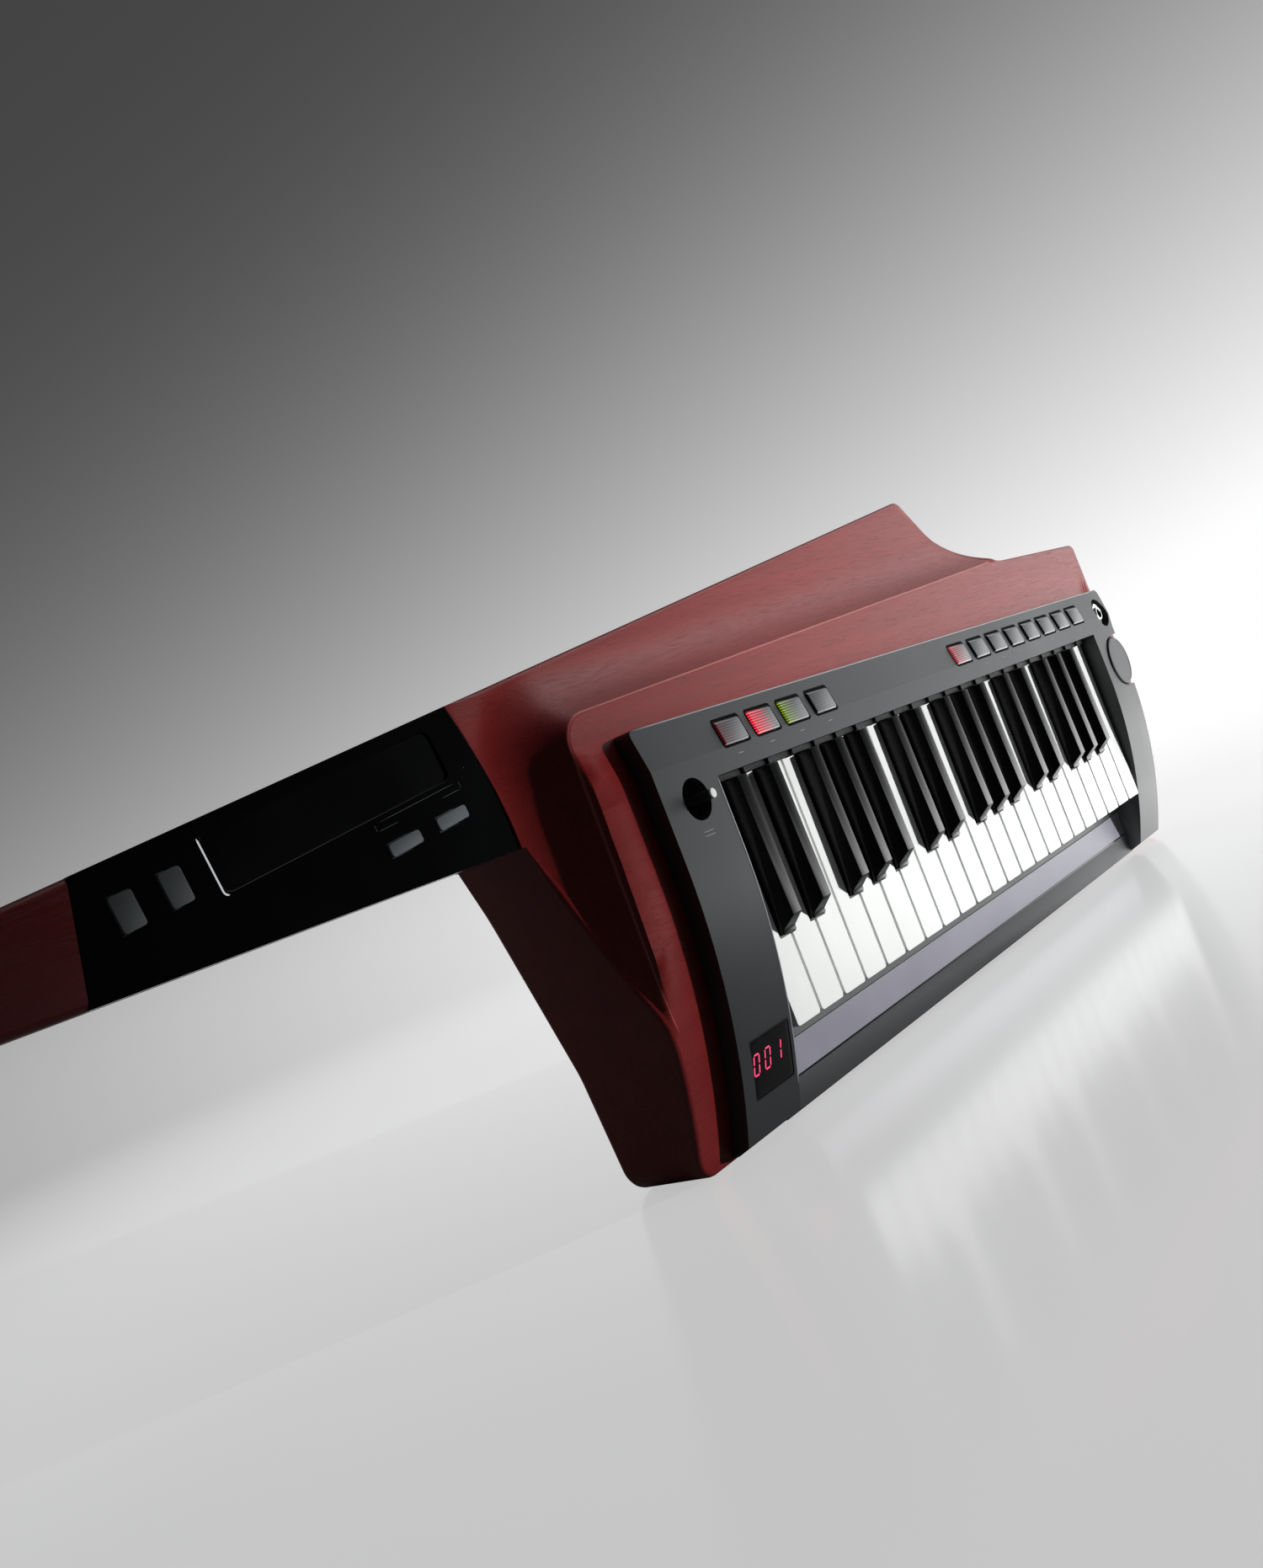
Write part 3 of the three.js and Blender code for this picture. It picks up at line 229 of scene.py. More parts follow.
# Caps and lights. The two lengths say where along the keys the glow starts and ends.
# The grey cap has no lamp behind it: its faint grey glow is painted light.
capGrey = litCap("smoked_grey_cap_painted_glow", "#5a5e60", 80, 96, 0.02)
redCap = litCap("smoked_cap_over_red_lamp", "#ff3448", 34, 51, 1.9)
dimRedCap = litCap("smoked_cap_over_dim_red_lamp", "#c8202c", 9, 22, 0.22)
limeCap = litCap("smoked_cap_over_lime_lamp", "#a0c010", 59, 73, 1.0)
roseCap = litCap("smoked_caps_over_rose_lamp", "#f05a68", 240, 258, 0.9)
digitGlow = steadyGlow("red_display_segments", "#ff4a78", 1.35)
# A glow painted as the highlight on the touch pad's left edge; there is no lamp.
edgeHighlightGlow = steadyGlow("white_painted_edge_highlight", "#dfe4e8", 0.7)
print("materials ready")


# Gives a piece the body that it moves with. replaces names the CAD node it is seen instead of, which is hidden.
def settle(piece, body, replaces=None):
    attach(piece, body)
    if replaces:
        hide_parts(replaces)
    return piece


# Puts a mesh, a camera or a light into the scene.
def addObject(name, data):
    item = bpy.data.objects.new(name, data)
    bpy.context.scene.collection.objects.link(item)
    return item


# Merges doubles, points the faces outwards, and shades smooth up to an angle.
def newPiece(name, mesh, material, sharpDegrees=32):
    work = bmesh.new()
    work.from_mesh(mesh)
    bmesh.ops.remove_doubles(work, verts=work.verts, dist=2e-6)
    bmesh.ops.recalc_face_normals(work, faces=work.faces)
    work.to_mesh(mesh)
    work.free()
    mesh.materials.clear()
    mesh.materials.append(material)
    mesh.polygons.foreach_set("use_smooth", np.ones(len(mesh.polygons), bool))
    mesh.set_sharp_from_angle(angle=math.radians(sharpDegrees))
    return addObject(name, mesh)


# Faces over grids of points, rows by columns. The columns close round, and so do the rows if closedRows is set.
# Otherwise the two end rings are filled.
def gridMesh(name, grids, closedRows=False):
    points, faces, start = [], [], 0
    for grid in grids:
        rows, columns = grid.shape[:2]
        index = np.arange(rows * columns).reshape(rows, columns) + start
        lines = np.vstack([index, index[:1]]) if closedRows else index
        lines = np.hstack([lines, lines[:, :1]])
        quads = np.stack([lines[:-1, :-1], lines[1:, :-1], lines[1:, 1:], lines[:-1, 1:]], -1)
        faces.extend(quads.reshape(-1, 4).tolist())
        if not closedRows:
            faces.append(index[0].tolist())
            faces.append(index[-1][::-1].tolist())
        points.append(standing(grid).reshape(-1, 3))
        start += rows * columns
    mesh = bpy.data.meshes.new(name)
    mesh.from_pydata(np.concatenate(points).tolist(), [], faces)
    return mesh


# A piece made from grids, with its material and body.
def addPiece(name, grids, material, body, replaces=None, sharpDegrees=32, closedRows=False):
    piece = newPiece(name, gridMesh(name, grids, closedRows), material, sharpDegrees)
    return settle(piece, body, replaces)


# Even angles of one whole turn.
def wholeTurn(steps):
    return np.linspace(0, 2 * math.pi, steps, endpoint=False)


# A profile of radius and height turned round an upright axis: each row is one ring, at x + radius times cosine and
# y + radius times sine. A radius may be an array over the angles.
def turnedGrid(profile, x, y, steps):
    angle = wholeTurn(steps)
    radius = np.stack([radius + 0 * angle for radius, height in profile])
    height = np.stack([height + 0 * angle for radius, height in profile])
    return np.stack([x + radius * np.cos(angle), y + radius * np.sin(angle), height], -1)


# A rounded rectangle about the origin: each corner a quarter circle of some steps.
def roundedRing(length, width, radius, steps):
    corner = np.array([length / 2 - radius, width / 2 - radius])
    quarters = []
    for k, side in enumerate(((1, 1), (-1, 1), (-1, -1), (1, -1))):
        angle = np.linspace(k, k + 1, steps + 1) * math.pi / 2
        quarters.append(np.stack([np.cos(angle), np.sin(angle)], -1) * radius + corner * side)
    return np.concatenate(quarters)


# One property of all vertices, faces or corners as an array, with a row for each if it has a width.
def gathered(items, key, width=None, kind=float):
    values = np.empty(len(items) * (width or 1), kind)
    items.foreach_get(key, values)
    return values.reshape(-1, width) if width else values


# A copy of a CAD solid with merged points, flat faces made whole, and rounded edges.
# Faces whose normal has one of the y parts in flats are shaded flat.
def refined(node, name, bevel, material, segments=2, flats=()):
    mesh = nodes[node].data.copy()
    work = bmesh.new()
    work.from_mesh(mesh)
    bmesh.ops.remove_doubles(work, verts=work.verts, dist=1e-5)
    bmesh.ops.dissolve_limit(
        work, angle_limit=math.radians(0.6), verts=work.verts, edges=work.edges, use_dissolve_boundaries=False
    )
    for face in work.faces:
        face.smooth = True
    work.to_mesh(mesh)
    work.free()
    mesh.set_sharp_from_angle(angle=math.radians(60))
    draft = addObject(name + "_draft", mesh)
    rounding = draft.modifiers.new("edges", "BEVEL")
    rounding.width = bevel * millimetre
    rounding.segments = segments
    rounding.limit_method = "ANGLE"
    rounding.angle_limit = math.radians(30)
    rounding.use_clamp_overlap = True
    rounding.harden_normals = True
    finished = bpy.data.meshes.new_from_object(draft.evaluated_get(bpy.context.evaluated_depsgraph_get()))
    bpy.data.objects.remove(draft)
    finished.materials.clear()
    finished.materials.append(material)
    if flats:
        facing = gathered(finished.polygons, "normal", 3)
        isFlat = (np.abs(facing[:, 1:2] - np.array(flats)) < 2e-5).any(1)
        finished.polygons.foreach_set("use_smooth", ~isFlat)
    return addObject(name, finished)


panel = {"face": 69, "arcRadius": 300, "arcStart": 116.5, "crease": 153.5, "top": 171.5, "fall": 3.6, "overWood": 8.5}


# Height of the panel's face: an arc that falls to the player, a flat, and the inclined button strip.
def faceHeight(y):
    run = np.maximum(panel["arcStart"] - y, 0)
    arc = np.sqrt(panel["arcRadius"] ** 2 - run**2) - panel["arcRadius"]
    strip = np.maximum(y - panel["crease"], 0) * panel["fall"] / (panel["top"] - panel["crease"])
    return panel["face"] + arc - strip


# Corner normals of the panel's front faces, from the slope of faceHeight. The others stay as they are.
def trueNormals(mesh):
    normals = gathered(mesh.corner_normals, "vector", 3)
    vertex = gathered(mesh.loops, "vertex_index", kind=int)
    points = gathered(mesh.vertices, "co", 3)
    facing = gathered(mesh.polygons, "normal", 3)
    middle = gathered(mesh.polygons, "center", 3)
    owner = np.repeat(np.arange(len(facing)), gathered(mesh.polygons, "loop_total", kind=int))
    y = points[vertex, 2] / millimetre
    y = y + np.sign(middle[owner, 2] / millimetre - y) * 0.1
    slope = (faceHeight(y + 0.05) - faceHeight(y - 0.05)) / 0.1
    ideal = np.stack([0 * slope, 0 * slope - 1, -slope], -1) / np.hypot(1, slope)[:, None]
    isFront = (facing[owner] * ideal).sum(1) > 0.998
    mesh.normals_split_custom_set(np.where(isFront[:, None], ideal, normals).tolist())


# The bowed edge between body and neck panel, from the top edge down: it moves left as the square of the share.
jointShare = np.linspace(1, 0, 6)
jointEdge = np.stack([-90.35 - 10.5 * jointShare**2, 144.2 + 58.2 * jointShare, 0 * jointShare], -1).tolist()
# The outline's corners carry X, Y and a radius. The profile's steps cross plateau, crest, cove and wing.
body = {
    "corners": [
        (-64, 0, 12), (506.5, 0, 14), (506.5, 207.2, 5), (363.7, 207.2, 50), (313.5, 258.978, 8),
        *jointEdge, (-89, 144.2, 0.8), (-68.5, 52, 60),
    ],
    "frontRadius": 2.6, "backRadius": 3.2, "sharpRadius": 0.25, "radiusRun": 22,
    "wing": 37.4, "floor": 14, "coverDepth": 3.3, "coverLedge": 8, "lip": 37.0, "lipPlace": (-5.1, 449.5, 7.5),
    "rim": (-65.5, -62.5, 180.4, 420, 206.7), "rimRadius": 9, "coveWidth": 34, "coveHeight": 24.6,
    "creaseOut": 3.73, "crestBand": 0.9, "blend": 0.6, "profileSteps": (4, 6, 16, 4),
}
pocket = {"left": -39, "right": 482, "low": 7, "high": 168.5, "leftHeights": (148, 146, 60)}
cover = {"left": -20.3, "right": 470.3, "low": 24.7, "high": 150.3, "leftHeights": (131, 129, 60)}


# Where the numbered corners of the body's outline land on a rectangle inside it.
def landings(left, right, low, high, leftHeights):
    places = {0: (left, low), 1: (right, low), 2: (right, high), 3: (363, high), 4: (300, high), 5: (left, high)}
    return {**places, **{10 + k: (left, y) for k, y in enumerate(leftHeights)}}


# A closed outline whose corners are arcs, with its straight runs cut to short steps. Also gives each corner's place
# in it.
def roundedLoop(corners, stepMm, arcSteps):
    arcs = []
    for k, (x, y, radius) in enumerate(corners):
        corner = np.array([x, y], float)
        if radius == 0:
            arcs.append(corner[None])
            continue
        back, ahead = (np.array(corners[j % len(corners)][:2]) - corner for j in (k - 1, k + 1))
        back, ahead = back / np.linalg.norm(back), ahead / np.linalg.norm(ahead)
        half = math.acos(back @ ahead) / 2
        centre = corner + (back + ahead) / np.linalg.norm(back + ahead) * radius / math.sin(half)
        start, end = (corner + side * radius / math.tan(half) - centre for side in (back, ahead))
        turn = math.atan2(start[0] * end[1] - start[1] * end[0], start @ end)
        angle = np.linspace(0, turn, arcSteps + 1)[:, None]
        arcs.append(centre + start * np.cos(angle) + np.array([-start[1], start[0]]) * np.sin(angle))
    loop, places, total = [], [], 0
    for arc, following in zip(arcs, arcs[1:] + arcs[:1]):
        run = following[0] - arc[-1]
        pieces = max(int(np.linalg.norm(run) / stepMm), 1)
        line = arc[-1] + run * (np.arange(1, pieces) / pieces)[:, None]
        places.append(total + (len(arc) - 1) // 2)
        loop.extend([arc, line])
        total += len(arc) + len(line)
    return np.concatenate(loop), places


# Points of an inner outline, one for each point of the outer one, straight between the anchored corners.
def carried(anchors, places, count):
    keys = sorted(anchors)
    at = np.array([places[k] for k in keys] + [places[keys[0]] + count], float)
    xy = np.array([anchors[k] for k in keys] + [anchors[keys[0]]], float)
    index = np.arange(count, dtype=float)
    index = np.where(index < at[0], index + count, index)
    return np.stack([np.interp(index, at, xy[:, 0]), np.interp(index, at, xy[:, 1])], -1)


# Distance outside the plateau's rim, whose left and top sides meet in a rounded corner.
def coveDistance(x, y):
    left, leftTop, topY, right, rightY = body["rim"]
    slope = (rightY - topY) / (right - leftTop)
    outLeft = left + (leftTop - left) * y / topY - x
    outTop = (y - topY - (x - leftTop) * slope) / math.hypot(1, slope)
    radius = body["rimRadius"]
    a, b = outLeft + radius, outTop + radius
    return np.hypot(np.maximum(a, 0), np.maximum(b, 0)) + np.minimum(np.maximum(a, b), 0) - radius


# Front of the wood: the lower of the plateau and the cove, which falls as the square of the way left to its foot.
# A smooth minimum rounds the rim between them.
def woodHeight(x, y):
    plateau = faceHeight(np.clip(y, 0.9, panel["top"])) - panel["overWood"]
    share = np.clip(1 - coveDistance(x, y) / body["coveWidth"], 0, 1.4)
    cove = body["wing"] + body["coveHeight"] * share**2
    blend = body["blend"]
    part = np.clip(0.5 + 0.5 * (plateau - cove) / blend, 0, 1)
    height = plateau * (1 - part) + cove * part - blend * part * (1 - part)
    left, right, high = body["lipPlace"]
    under = (x > left) & (x < right) & (y < high)
    return np.where(under, np.minimum(height, body["lip"]), height)


# Each ray from the pocket's edge to the outline carries a closed profile: over the plateau and the cove, round the
# edge, along the back to the cover's rebate, and up the pocket's wall.
def woodenBody():
    outline, places = roundedLoop(body["corners"], 6, 12)
    count = len(outline)
    pocketRing = carried(landings(**pocket), places, count)
    coverRing = carried(landings(**cover), places, count)
    tangent = np.roll(outline, -1, 0) - np.roll(outline, 1, 0)
    tangent /= np.linalg.norm(tangent, axis=1, keepdims=True)
    normal = np.stack([tangent[:, 1], -tangent[:, 0]], -1)
    along = np.r_[0, np.cumsum(np.linalg.norm(np.diff(outline, axis=0), axis=1))]
    # The edge is almost sharp at the neck, and grows round on both sides of it.
    outside = np.maximum(along[places[5]] - along, along - along[places[11]])
    share = np.clip(outside / body["radiusRun"], 0, 1)[:, None]
    front = body["sharpRadius"] + (body["frontRadius"] - body["sharpRadius"]) * share
    back = body["sharpRadius"] + (body["backRadius"] - body["sharpRadius"]) * share
    edge = outline - normal * front
    # Knots along each ray: both sides of the crest, and the cove's foot.
    sample = np.linspace(0, 1, 500)
    way = pocketRing[:, None] + (edge - pocketRing)[:, None] * sample[None, :, None]
    distance = coveDistance(way[..., 0], way[..., 1])
    isCove, isWing = distance > body["creaseOut"], distance > body["coveWidth"]
    crease = np.clip(np.where(isCove.any(1), sample[isCove.argmax(1)], 0.9), 0.08, 0.93)
    foot = np.clip(np.where(isWing.any(1), sample[isWing.argmax(1)], 1.0), crease + 0.03, 0.98)
    band = 2 * np.clip(body["crestBand"] / np.linalg.norm(edge - pocketRing, axis=1), 0, 0.02)
    knots = np.stack([0 * crease, crease - band, crease + band, foot, 0 * foot + 1], -1)
    steps = body["profileSteps"]
    rows = np.concatenate([k + np.arange(n) / n for k, n in enumerate(steps)] + [[len(steps)]])
    whole = np.minimum(rows.astype(int), len(steps) - 1)
    t = knots[:, whole] * (whole + 1 - rows) + knots[:, whole + 1] * (rows - whole)
    flat = pocketRing[:, None] + (edge - pocketRing)[:, None] * t[..., None]
    height = woodHeight(flat[..., 0], flat[..., 1])
    # Round the edge at the front and at the back, then from the cover's rebate into the pocket.
    angle = np.linspace(0, math.pi / 2, 5)[1:]
    frontArc = edge[:, None] + (normal * front)[:, None] * np.sin(angle)[None, :, None]
    backArc = outline[:, None] - (normal * back)[:, None] * (1 - np.cos(angle))[None, :, None]
    ledge, depth, floor = body["coverLedge"], body["coverDepth"], body["floor"]
    lowest = (cover["left"] + ledge, cover["low"] + ledge)
    inset = np.clip(coverRing, lowest, (cover["right"] - ledge, cover["high"] - ledge))
    sections = [(flat, height), (frontArc, height[:, -1:] - front * (1 - np.cos(angle))), (outline[:, None], back),
                (backArc, back * (1 - np.sin(angle)))]
    for ring, z in ((coverRing, 0), (coverRing, depth), (inset, depth), (inset, floor), (pocketRing, floor)):
        sections.append((ring[:, None], np.full((count, 1), z)))
    grid = np.concatenate([np.concatenate([xy, z[..., None]], -1) for xy, z in sections], 1)
    mesh = gridMesh("stained_body", [grid], closedRows=True)
    # A pale highlight is painted along the crest: the mask is 1 on the crest's column.
    crestHighlight = np.zeros(grid.shape[:2])
    crestHighlight[:, steps[0] + steps[1] // 2] = isCove.any(1)  # the column that runs along the crest
    mesh.attributes.new("crestHighlight", "FLOAT", "POINT").data.foreach_set("value", crestHighlight.ravel())
    settle(newPiece("stained_body", mesh, wood, 40), "housing", "wood_body")


neck = {"slope": 0.1365, "startX": -101, "startY": 202.4, "bottom": 144.2, "headTop": -310.6, "headLow": -319.5,
        "panelTop": -260.15, "panelLow": -267.15, "endTop": -84, "endLow": -86, "back": 8, "core": 31.1, "front": 37.4,
        "radius": 2.6, "end": 4}


# A rounded section carried along the neck: full height at the headstock, whose end is rounded off as a quarter
# ellipse, and low under the neck panel. Each station has the X of its top and of its lower edge.
def neckCore():
    end, panelEnd = neck["end"], (neck["panelTop"], neck["panelLow"])
    lean = np.array([0, 0.45, 1.3, 2.6, end]) / end
    headEnd = end * lean[:, None] + (neck["headTop"], neck["headLow"])
    head = [(-290, -298), (-275, -282), panelEnd]
    underPanel = [panelEnd, (-200, -200), (-140, -140), (neck["endTop"], neck["endLow"])]
    top, low = np.concatenate([headEnd, head, underPanel]).T
    inset = np.concatenate([end * (1 - np.sqrt(1 - (1 - lean) ** 2)), np.zeros(len(head) + len(underPanel))])
    isHead = np.arange(len(top)) < len(headEnd) + len(head)
    front = np.where(isHead, neck["front"], neck["core"])
    lowPlace = np.stack([low, neck["bottom"] + inset * 0.6], -1)
    highPlace = np.stack([top, neck["startY"] + (top - neck["startX"]) * neck["slope"] - inset * 0.6], -1)
    width = np.linalg.norm(highPlace - lowPlace, axis=1)
    side = (highPlace - lowPlace) / width[:, None]
    sizes = zip(width, front - neck["back"] - 0.6 * inset)
    section = np.stack([roundedRing(across, deep, neck["radius"], 5) for across, deep in sizes])
    xy = ((lowPlace + highPlace) / 2)[:, None] + section[..., :1] * side[:, None]
    z = section[..., 1:] + ((front + neck["back"]) / 2)[:, None, None]
    grid = np.concatenate([xy, z], -1)
    addPiece("stained_neck_core", [grid], wood, "housing", "wood_body", 40)


woodenBody()
neckCore()
print("wood ready")


panelPiece = refined("front_panel", "charcoal_panel", 0.6, shell, 3)
trueNormals(panelPiece.data)
settle(panelPiece, "housing", "front_panel")
settle(refined("back_cover", "rear_cover", 0.5, blackPlastic), "housing", "back_cover")
settle(refined("battery_door", "battery_lid", 0.4, blackPlastic), "battery_door", "battery_door")
settle(refined("long_ribbon", "touch_ribbon", 0.25, ribbonFilm), "housing", "long_ribbon")
neckCover = refined("neck_panel", "neck_cover", 0.25, gloss, flats=(-1, 0, 1))
settle(neckCover, "housing", "neck_panel")
touchPad = refined("short_ribbon", "neck_touch_pad", 0.12, padBlack, flats=(-1, 0, 1))
settle(touchPad, "housing", "short_ribbon")
for name, material in (("main_board", boardGreen), ("key_chassis", blackPlastic)):
    nodes[name].data.materials.clear()
    nodes[name].data.materials.append(material)
print("panel ready")


# Moves a piece's points by a function of them and of the two corners of the CAD node's box.
def reshaped(piece, node, change):
    points = gathered(piece.data.vertices, "co", 3)
    change(points, *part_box(node))
    piece.data.vertices.foreach_set("co", points.ravel())
    return piece


# Narrows a key about its middle, so that the gap to its neighbours reads as wide as in the photo.
def slimmer(points, lo, hi):
    middle, width = (lo.x + hi.x) / 2, hi.x - lo.x
    points[:, 0] = (points[:, 0] - middle) * (1 - keyboard["slimBy"] * millimetre / width) + middle


# The cap's face leans with the button strip: its upper edge is lowered by the lean, the lower edge stays.
def leanCap(points, lo, hi):
    share = np.clip((points[:, 2] - lo.z) / (hi.z - lo.z), 0, 1)
    isFace = points[:, 1] < lo.y + caps["faceDepth"] * millimetre
    points[:, 1] += np.where(isFace, caps["lean"] * millimetre * share, 0)


caps = {
    "lean": 0.9, "faceDepth": 1.5,
    "materials": {
        "function_button_1": dimRedCap, "function_button_2": redCap, "function_button_3": limeCap,
        "function_button_4": capGrey, "favourite_buttons": roseCap,
    },
}
edges = {"whiteKey": 0.65, "blackKey": 0.3, "cap": 0.25, "neckCap": 0.18, "pin": 0.3}  # width of the rounded edges
for name in sorted(nodes):
    if name.startswith("white_key"):
        key = refined(name, "ivory_" + name, edges["whiteKey"], ivory)
        settle(reshaped(key, name, slimmer), name, name)
    elif name.startswith("black_key"):
        settle(refined(name, "ebony_" + name, edges["blackKey"], ebony), name, name)
    elif name in caps["materials"]:
        cap = refined(name, "cap_" + name, edges["cap"], caps["materials"][name])
        settle(reshaped(cap, name, leanCap), name, name)
    elif name.startswith("neck_button"):
        settle(refined(name, "cap_" + name, edges["neckCap"], neckCap), name, name)
    elif name.startswith("strap_pin"):
        settle(refined(name, "turned_" + name, edges["pin"], nickel), "housing", name)
print("keys and caps ready")


knob = {"x": 473.3, "y": 121.4, "radius": 16, "front": 69.9, "thickness": 6.4, "stem": 3, "stemLength": 10,
        "chamfer": 0.7}


# A turned profile: stem, back, side, chamfered rim, and a face that dips by a fine step inside the rim.
def volumeDisc():
    r, z, c = knob["radius"], knob["front"], knob["chamfer"]
    back = z - knob["thickness"]
    profile = [(0, back - knob["stemLength"]), (knob["stem"], back - knob["stemLength"]), (knob["stem"], back),
               (r - 0.5, back), (r, back + 0.5), (r, z - c), (r - 0.12 * c, z - 0.5 * c), (r - 0.5 * c, z - 0.12 * c),
               (r - c, z), (r - c - 0.7, z), (r - c - 0.85, z - 0.12), (0, z - 0.12)]
    disc = turnedGrid(profile, knob["x"], knob["y"], 96)
    addPiece("volume_disc", [disc], shell, "volume_knob", "volume_knob", 25)


lever = {"x": -20.5, "y": 137.8, "pivot": 52, "ball": 4, "neck": 1.9, "head": 1.95, "reach": 25.6, "tip": 0.8,
         "flare": 12, "lip": 0.15, "rounding": 0.5}


# A turned profile: ball, slim waist, and a flare that widens as the square of its length and carries the white tip.
def modeStick():
    ballAngle = np.linspace(-math.pi / 2, math.pi * 0.28, 14)
    ball = np.stack([lever["ball"] * np.cos(ballAngle), lever["pivot"] + lever["ball"] * np.sin(ballAngle)], -1)
    top = lever["pivot"] + lever["reach"]
    base = top - lever["tip"]
    share = np.linspace(0, 1, 8)
    waist = lever["neck"] + (lever["head"] - lever["neck"]) * share**2
    flare = np.stack([waist, base - lever["flare"] * (1 - share)], -1)
    stick = turnedGrid(np.concatenate([ball, flare, [(0, base)]]), lever["x"], lever["y"], 32)
    addPiece("mode_stick", [stick], blackPlastic, "mode_lever", "mode_lever", 40)
    # The tip: a flat seat, and a face rounded off as a quarter circle.
    arc = np.linspace(0, math.pi / 2, 8)
    dome = np.stack([lever["head"] + 0.1 - lever["rounding"] * (1 - np.cos(arc)),
                     top - lever["rounding"] * (1 - np.sin(arc))], -1)
    seatEdge = [(0, base + 0.02), (lever["head"] + lever["lip"], base + 0.02)]
    tip = turnedGrid(np.concatenate([seatEdge, dome, [(0, top)]]), lever["x"], lever["y"], 32)
    addPiece("mode_stick_tip", [tip], tipWhite, "mode_lever", "mode_lever", 40)


jack = {"x": 475.6, "y": 155.6, "seat": 63.5, "nutAcross": 13, "nutHeight": 2.6, "bush": 4.6, "hole": 3.2, "rise": 1.2,
        "sleeve": 5.6, "sleeveLength": 19, "shoulder": 3.6, "throat": 4.5}


# A hexagon whose radius at each angle is the flat's distance over the cosine, cut by a cone at the top, with the
# bush and the hole turned inside it. A black sleeve stands in the hole.
def socketNut():
    flat, hole, bush = jack["nutAcross"] / 2, jack["hole"], jack["bush"]
    seat, top = jack["seat"], jack["seat"] + jack["nutHeight"]
    end, low = top + jack["rise"], jack["seat"] - jack["sleeveLength"]
    hexagon = flat / np.cos((wholeTurn(96) + math.pi / 6) % (math.pi / 3) - math.pi / 6)
    chamfer = np.minimum(hexagon, flat + 0.35)
    profile = [(hole, seat), (hexagon, seat), (hexagon, top - 0.7), (np.minimum(hexagon, flat + 0.75), top - 0.25),
               (chamfer, top), (bush + 0.3, top), (bush, top + 0.1), (bush, end - 0.4), (bush - 0.4, end),
               (hole + 0.3, end), (hole, end - 0.4)]
    nut = turnedGrid(profile, jack["x"], jack["y"], 96)
    addPiece("socket_nut", [nut], nickel, "housing", "output_jack", 30, closedRows=True)
    outer, throat, shoulder = jack["sleeve"], jack["throat"], seat - jack["shoulder"]
    profile = [(hole - 0.05, top + 0.5), (hole - 0.05, low), (outer, low), (outer, shoulder), (throat, shoulder),
               (throat, top - 0.4), (hole + 0.4, top - 0.4), (hole + 0.4, top + 0.5)]
    sleeve = turnedGrid(profile, jack["x"], jack["y"], 48)
    addPiece("socket_sleeve", [sleeve], blackPlastic, "housing", "output_jack", 40, closedRows=True)


volumeDisc()
modeStick()
socketNut()
print("controls ready")


display = {"centre": (-19.3, 31.15), "length": 29.4, "width": 23.3, "digitHeight": 7.8, "digitPitch": 8.2,
           "lastX": -13, "lowY": 28.9, "slant": 0.14, "stroke": 0.68, "digitSink": 0.14, "digitDepth": 0.1}
pane = {"gap": 0.5, "radius": 1.6, "edge": 0.15, "sink": 0.18, "thickness": 0.58}


# Smoked pane that follows the cheek's arc a little under its face: rings that shrink to the middle, a rounded edge, a
# wall, and a flat underside.
def displayWindow():
    length, width = display["length"] - pane["gap"], display["width"] - pane["gap"]
    radius, edge = pane["radius"], pane["edge"]
    inner = roundedRing(length - 2 * edge, width - 2 * edge, radius - edge, 6)
    inner = inner[None] * np.linspace(0.02, 1, 8)[:, None, None]
    angle = np.linspace(0, math.pi / 2, 4)[1:]
    outer = []
    for inset in edge * (1 - np.sin(angle)):
        outer.append(roundedRing(length - 2 * inset, width - 2 * inset, radius - inset, 6))
    flat = np.concatenate([inner, outer, outer[-1:], [outer[-1] * 0.02]]) + display["centre"]
    height = faceHeight(flat[..., 1]) - pane["sink"]
    height[len(inner) : -2] -= edge * (1 - np.cos(angle))[:, None]
    height[-2:] -= pane["thickness"]
    grid = np.concatenate([flat, height[..., None]], -1)
    addPiece("display_pane", [grid], smoked, "housing", sharpDegrees=30)


# Seven-segment figures: each lit bar is a flat hexagon along its axis, and the whole leans to the right.
def displayDigits():
    h, s = display["digitHeight"] / 2, display["stroke"] / 2
    w = h * 0.95
    bars = {"a": (0, 2 * h, w, 2 * h), "b": (w, 2 * h, w, h), "c": (w, h, w, 0), "d": (0, 0, w, 0),
            "e": (0, h, 0, 0), "f": (0, 2 * h, 0, h)}
    grids = []
    for k, lit in enumerate(("abcdef", "abcdef", "bc")):
        shift = display["lastX"] - (2 - k) * display["digitPitch"] - w
        for bar in lit:
            start, end = np.array(bars[bar][:2]), np.array(bars[bar][2:])
            axis = (end - start) / np.linalg.norm(end - start)
            side = np.array([-axis[1], axis[0]])
            start, end = start + axis * 0.25, end - axis * 0.25
            outline = np.stack([start, start + (axis + side) * s, end - (axis - side) * s,
                                end, end - (axis + side) * s, start + (axis - side) * s])
            outline[:, 0] += outline[:, 1] * display["slant"] + shift
            outline[:, 1] += display["lowY"]
            top = faceHeight(outline[:, 1:]) - display["digitSink"]
            heights = (top - display["digitDepth"], top)
            grids.append(np.stack([np.hstack([outline, z]) for z in heights]))
    addPiece("display_digits", grids, digitGlow, "housing", sharpDegrees=30)


displayWindow()
displayDigits()
print("display ready")


# Places on the neck, u along its top edge and v away from it, as X and Y.
def onNeck(points):
    u, v = np.moveaxis(np.asarray(points, float), -1, 0)
    angle = math.atan(neck["slope"])
    x = neck["startX"] + u * math.cos(angle) - v * math.sin(angle)
    return np.stack([x, neck["startY"] + u * math.sin(angle) + v * math.cos(angle)], -1)


# Even steps on a straight line between two points.
def straight(start, end, count):
    return np.array(start) + (np.array(end) - start) * np.linspace(0, 1, count)[:, None]


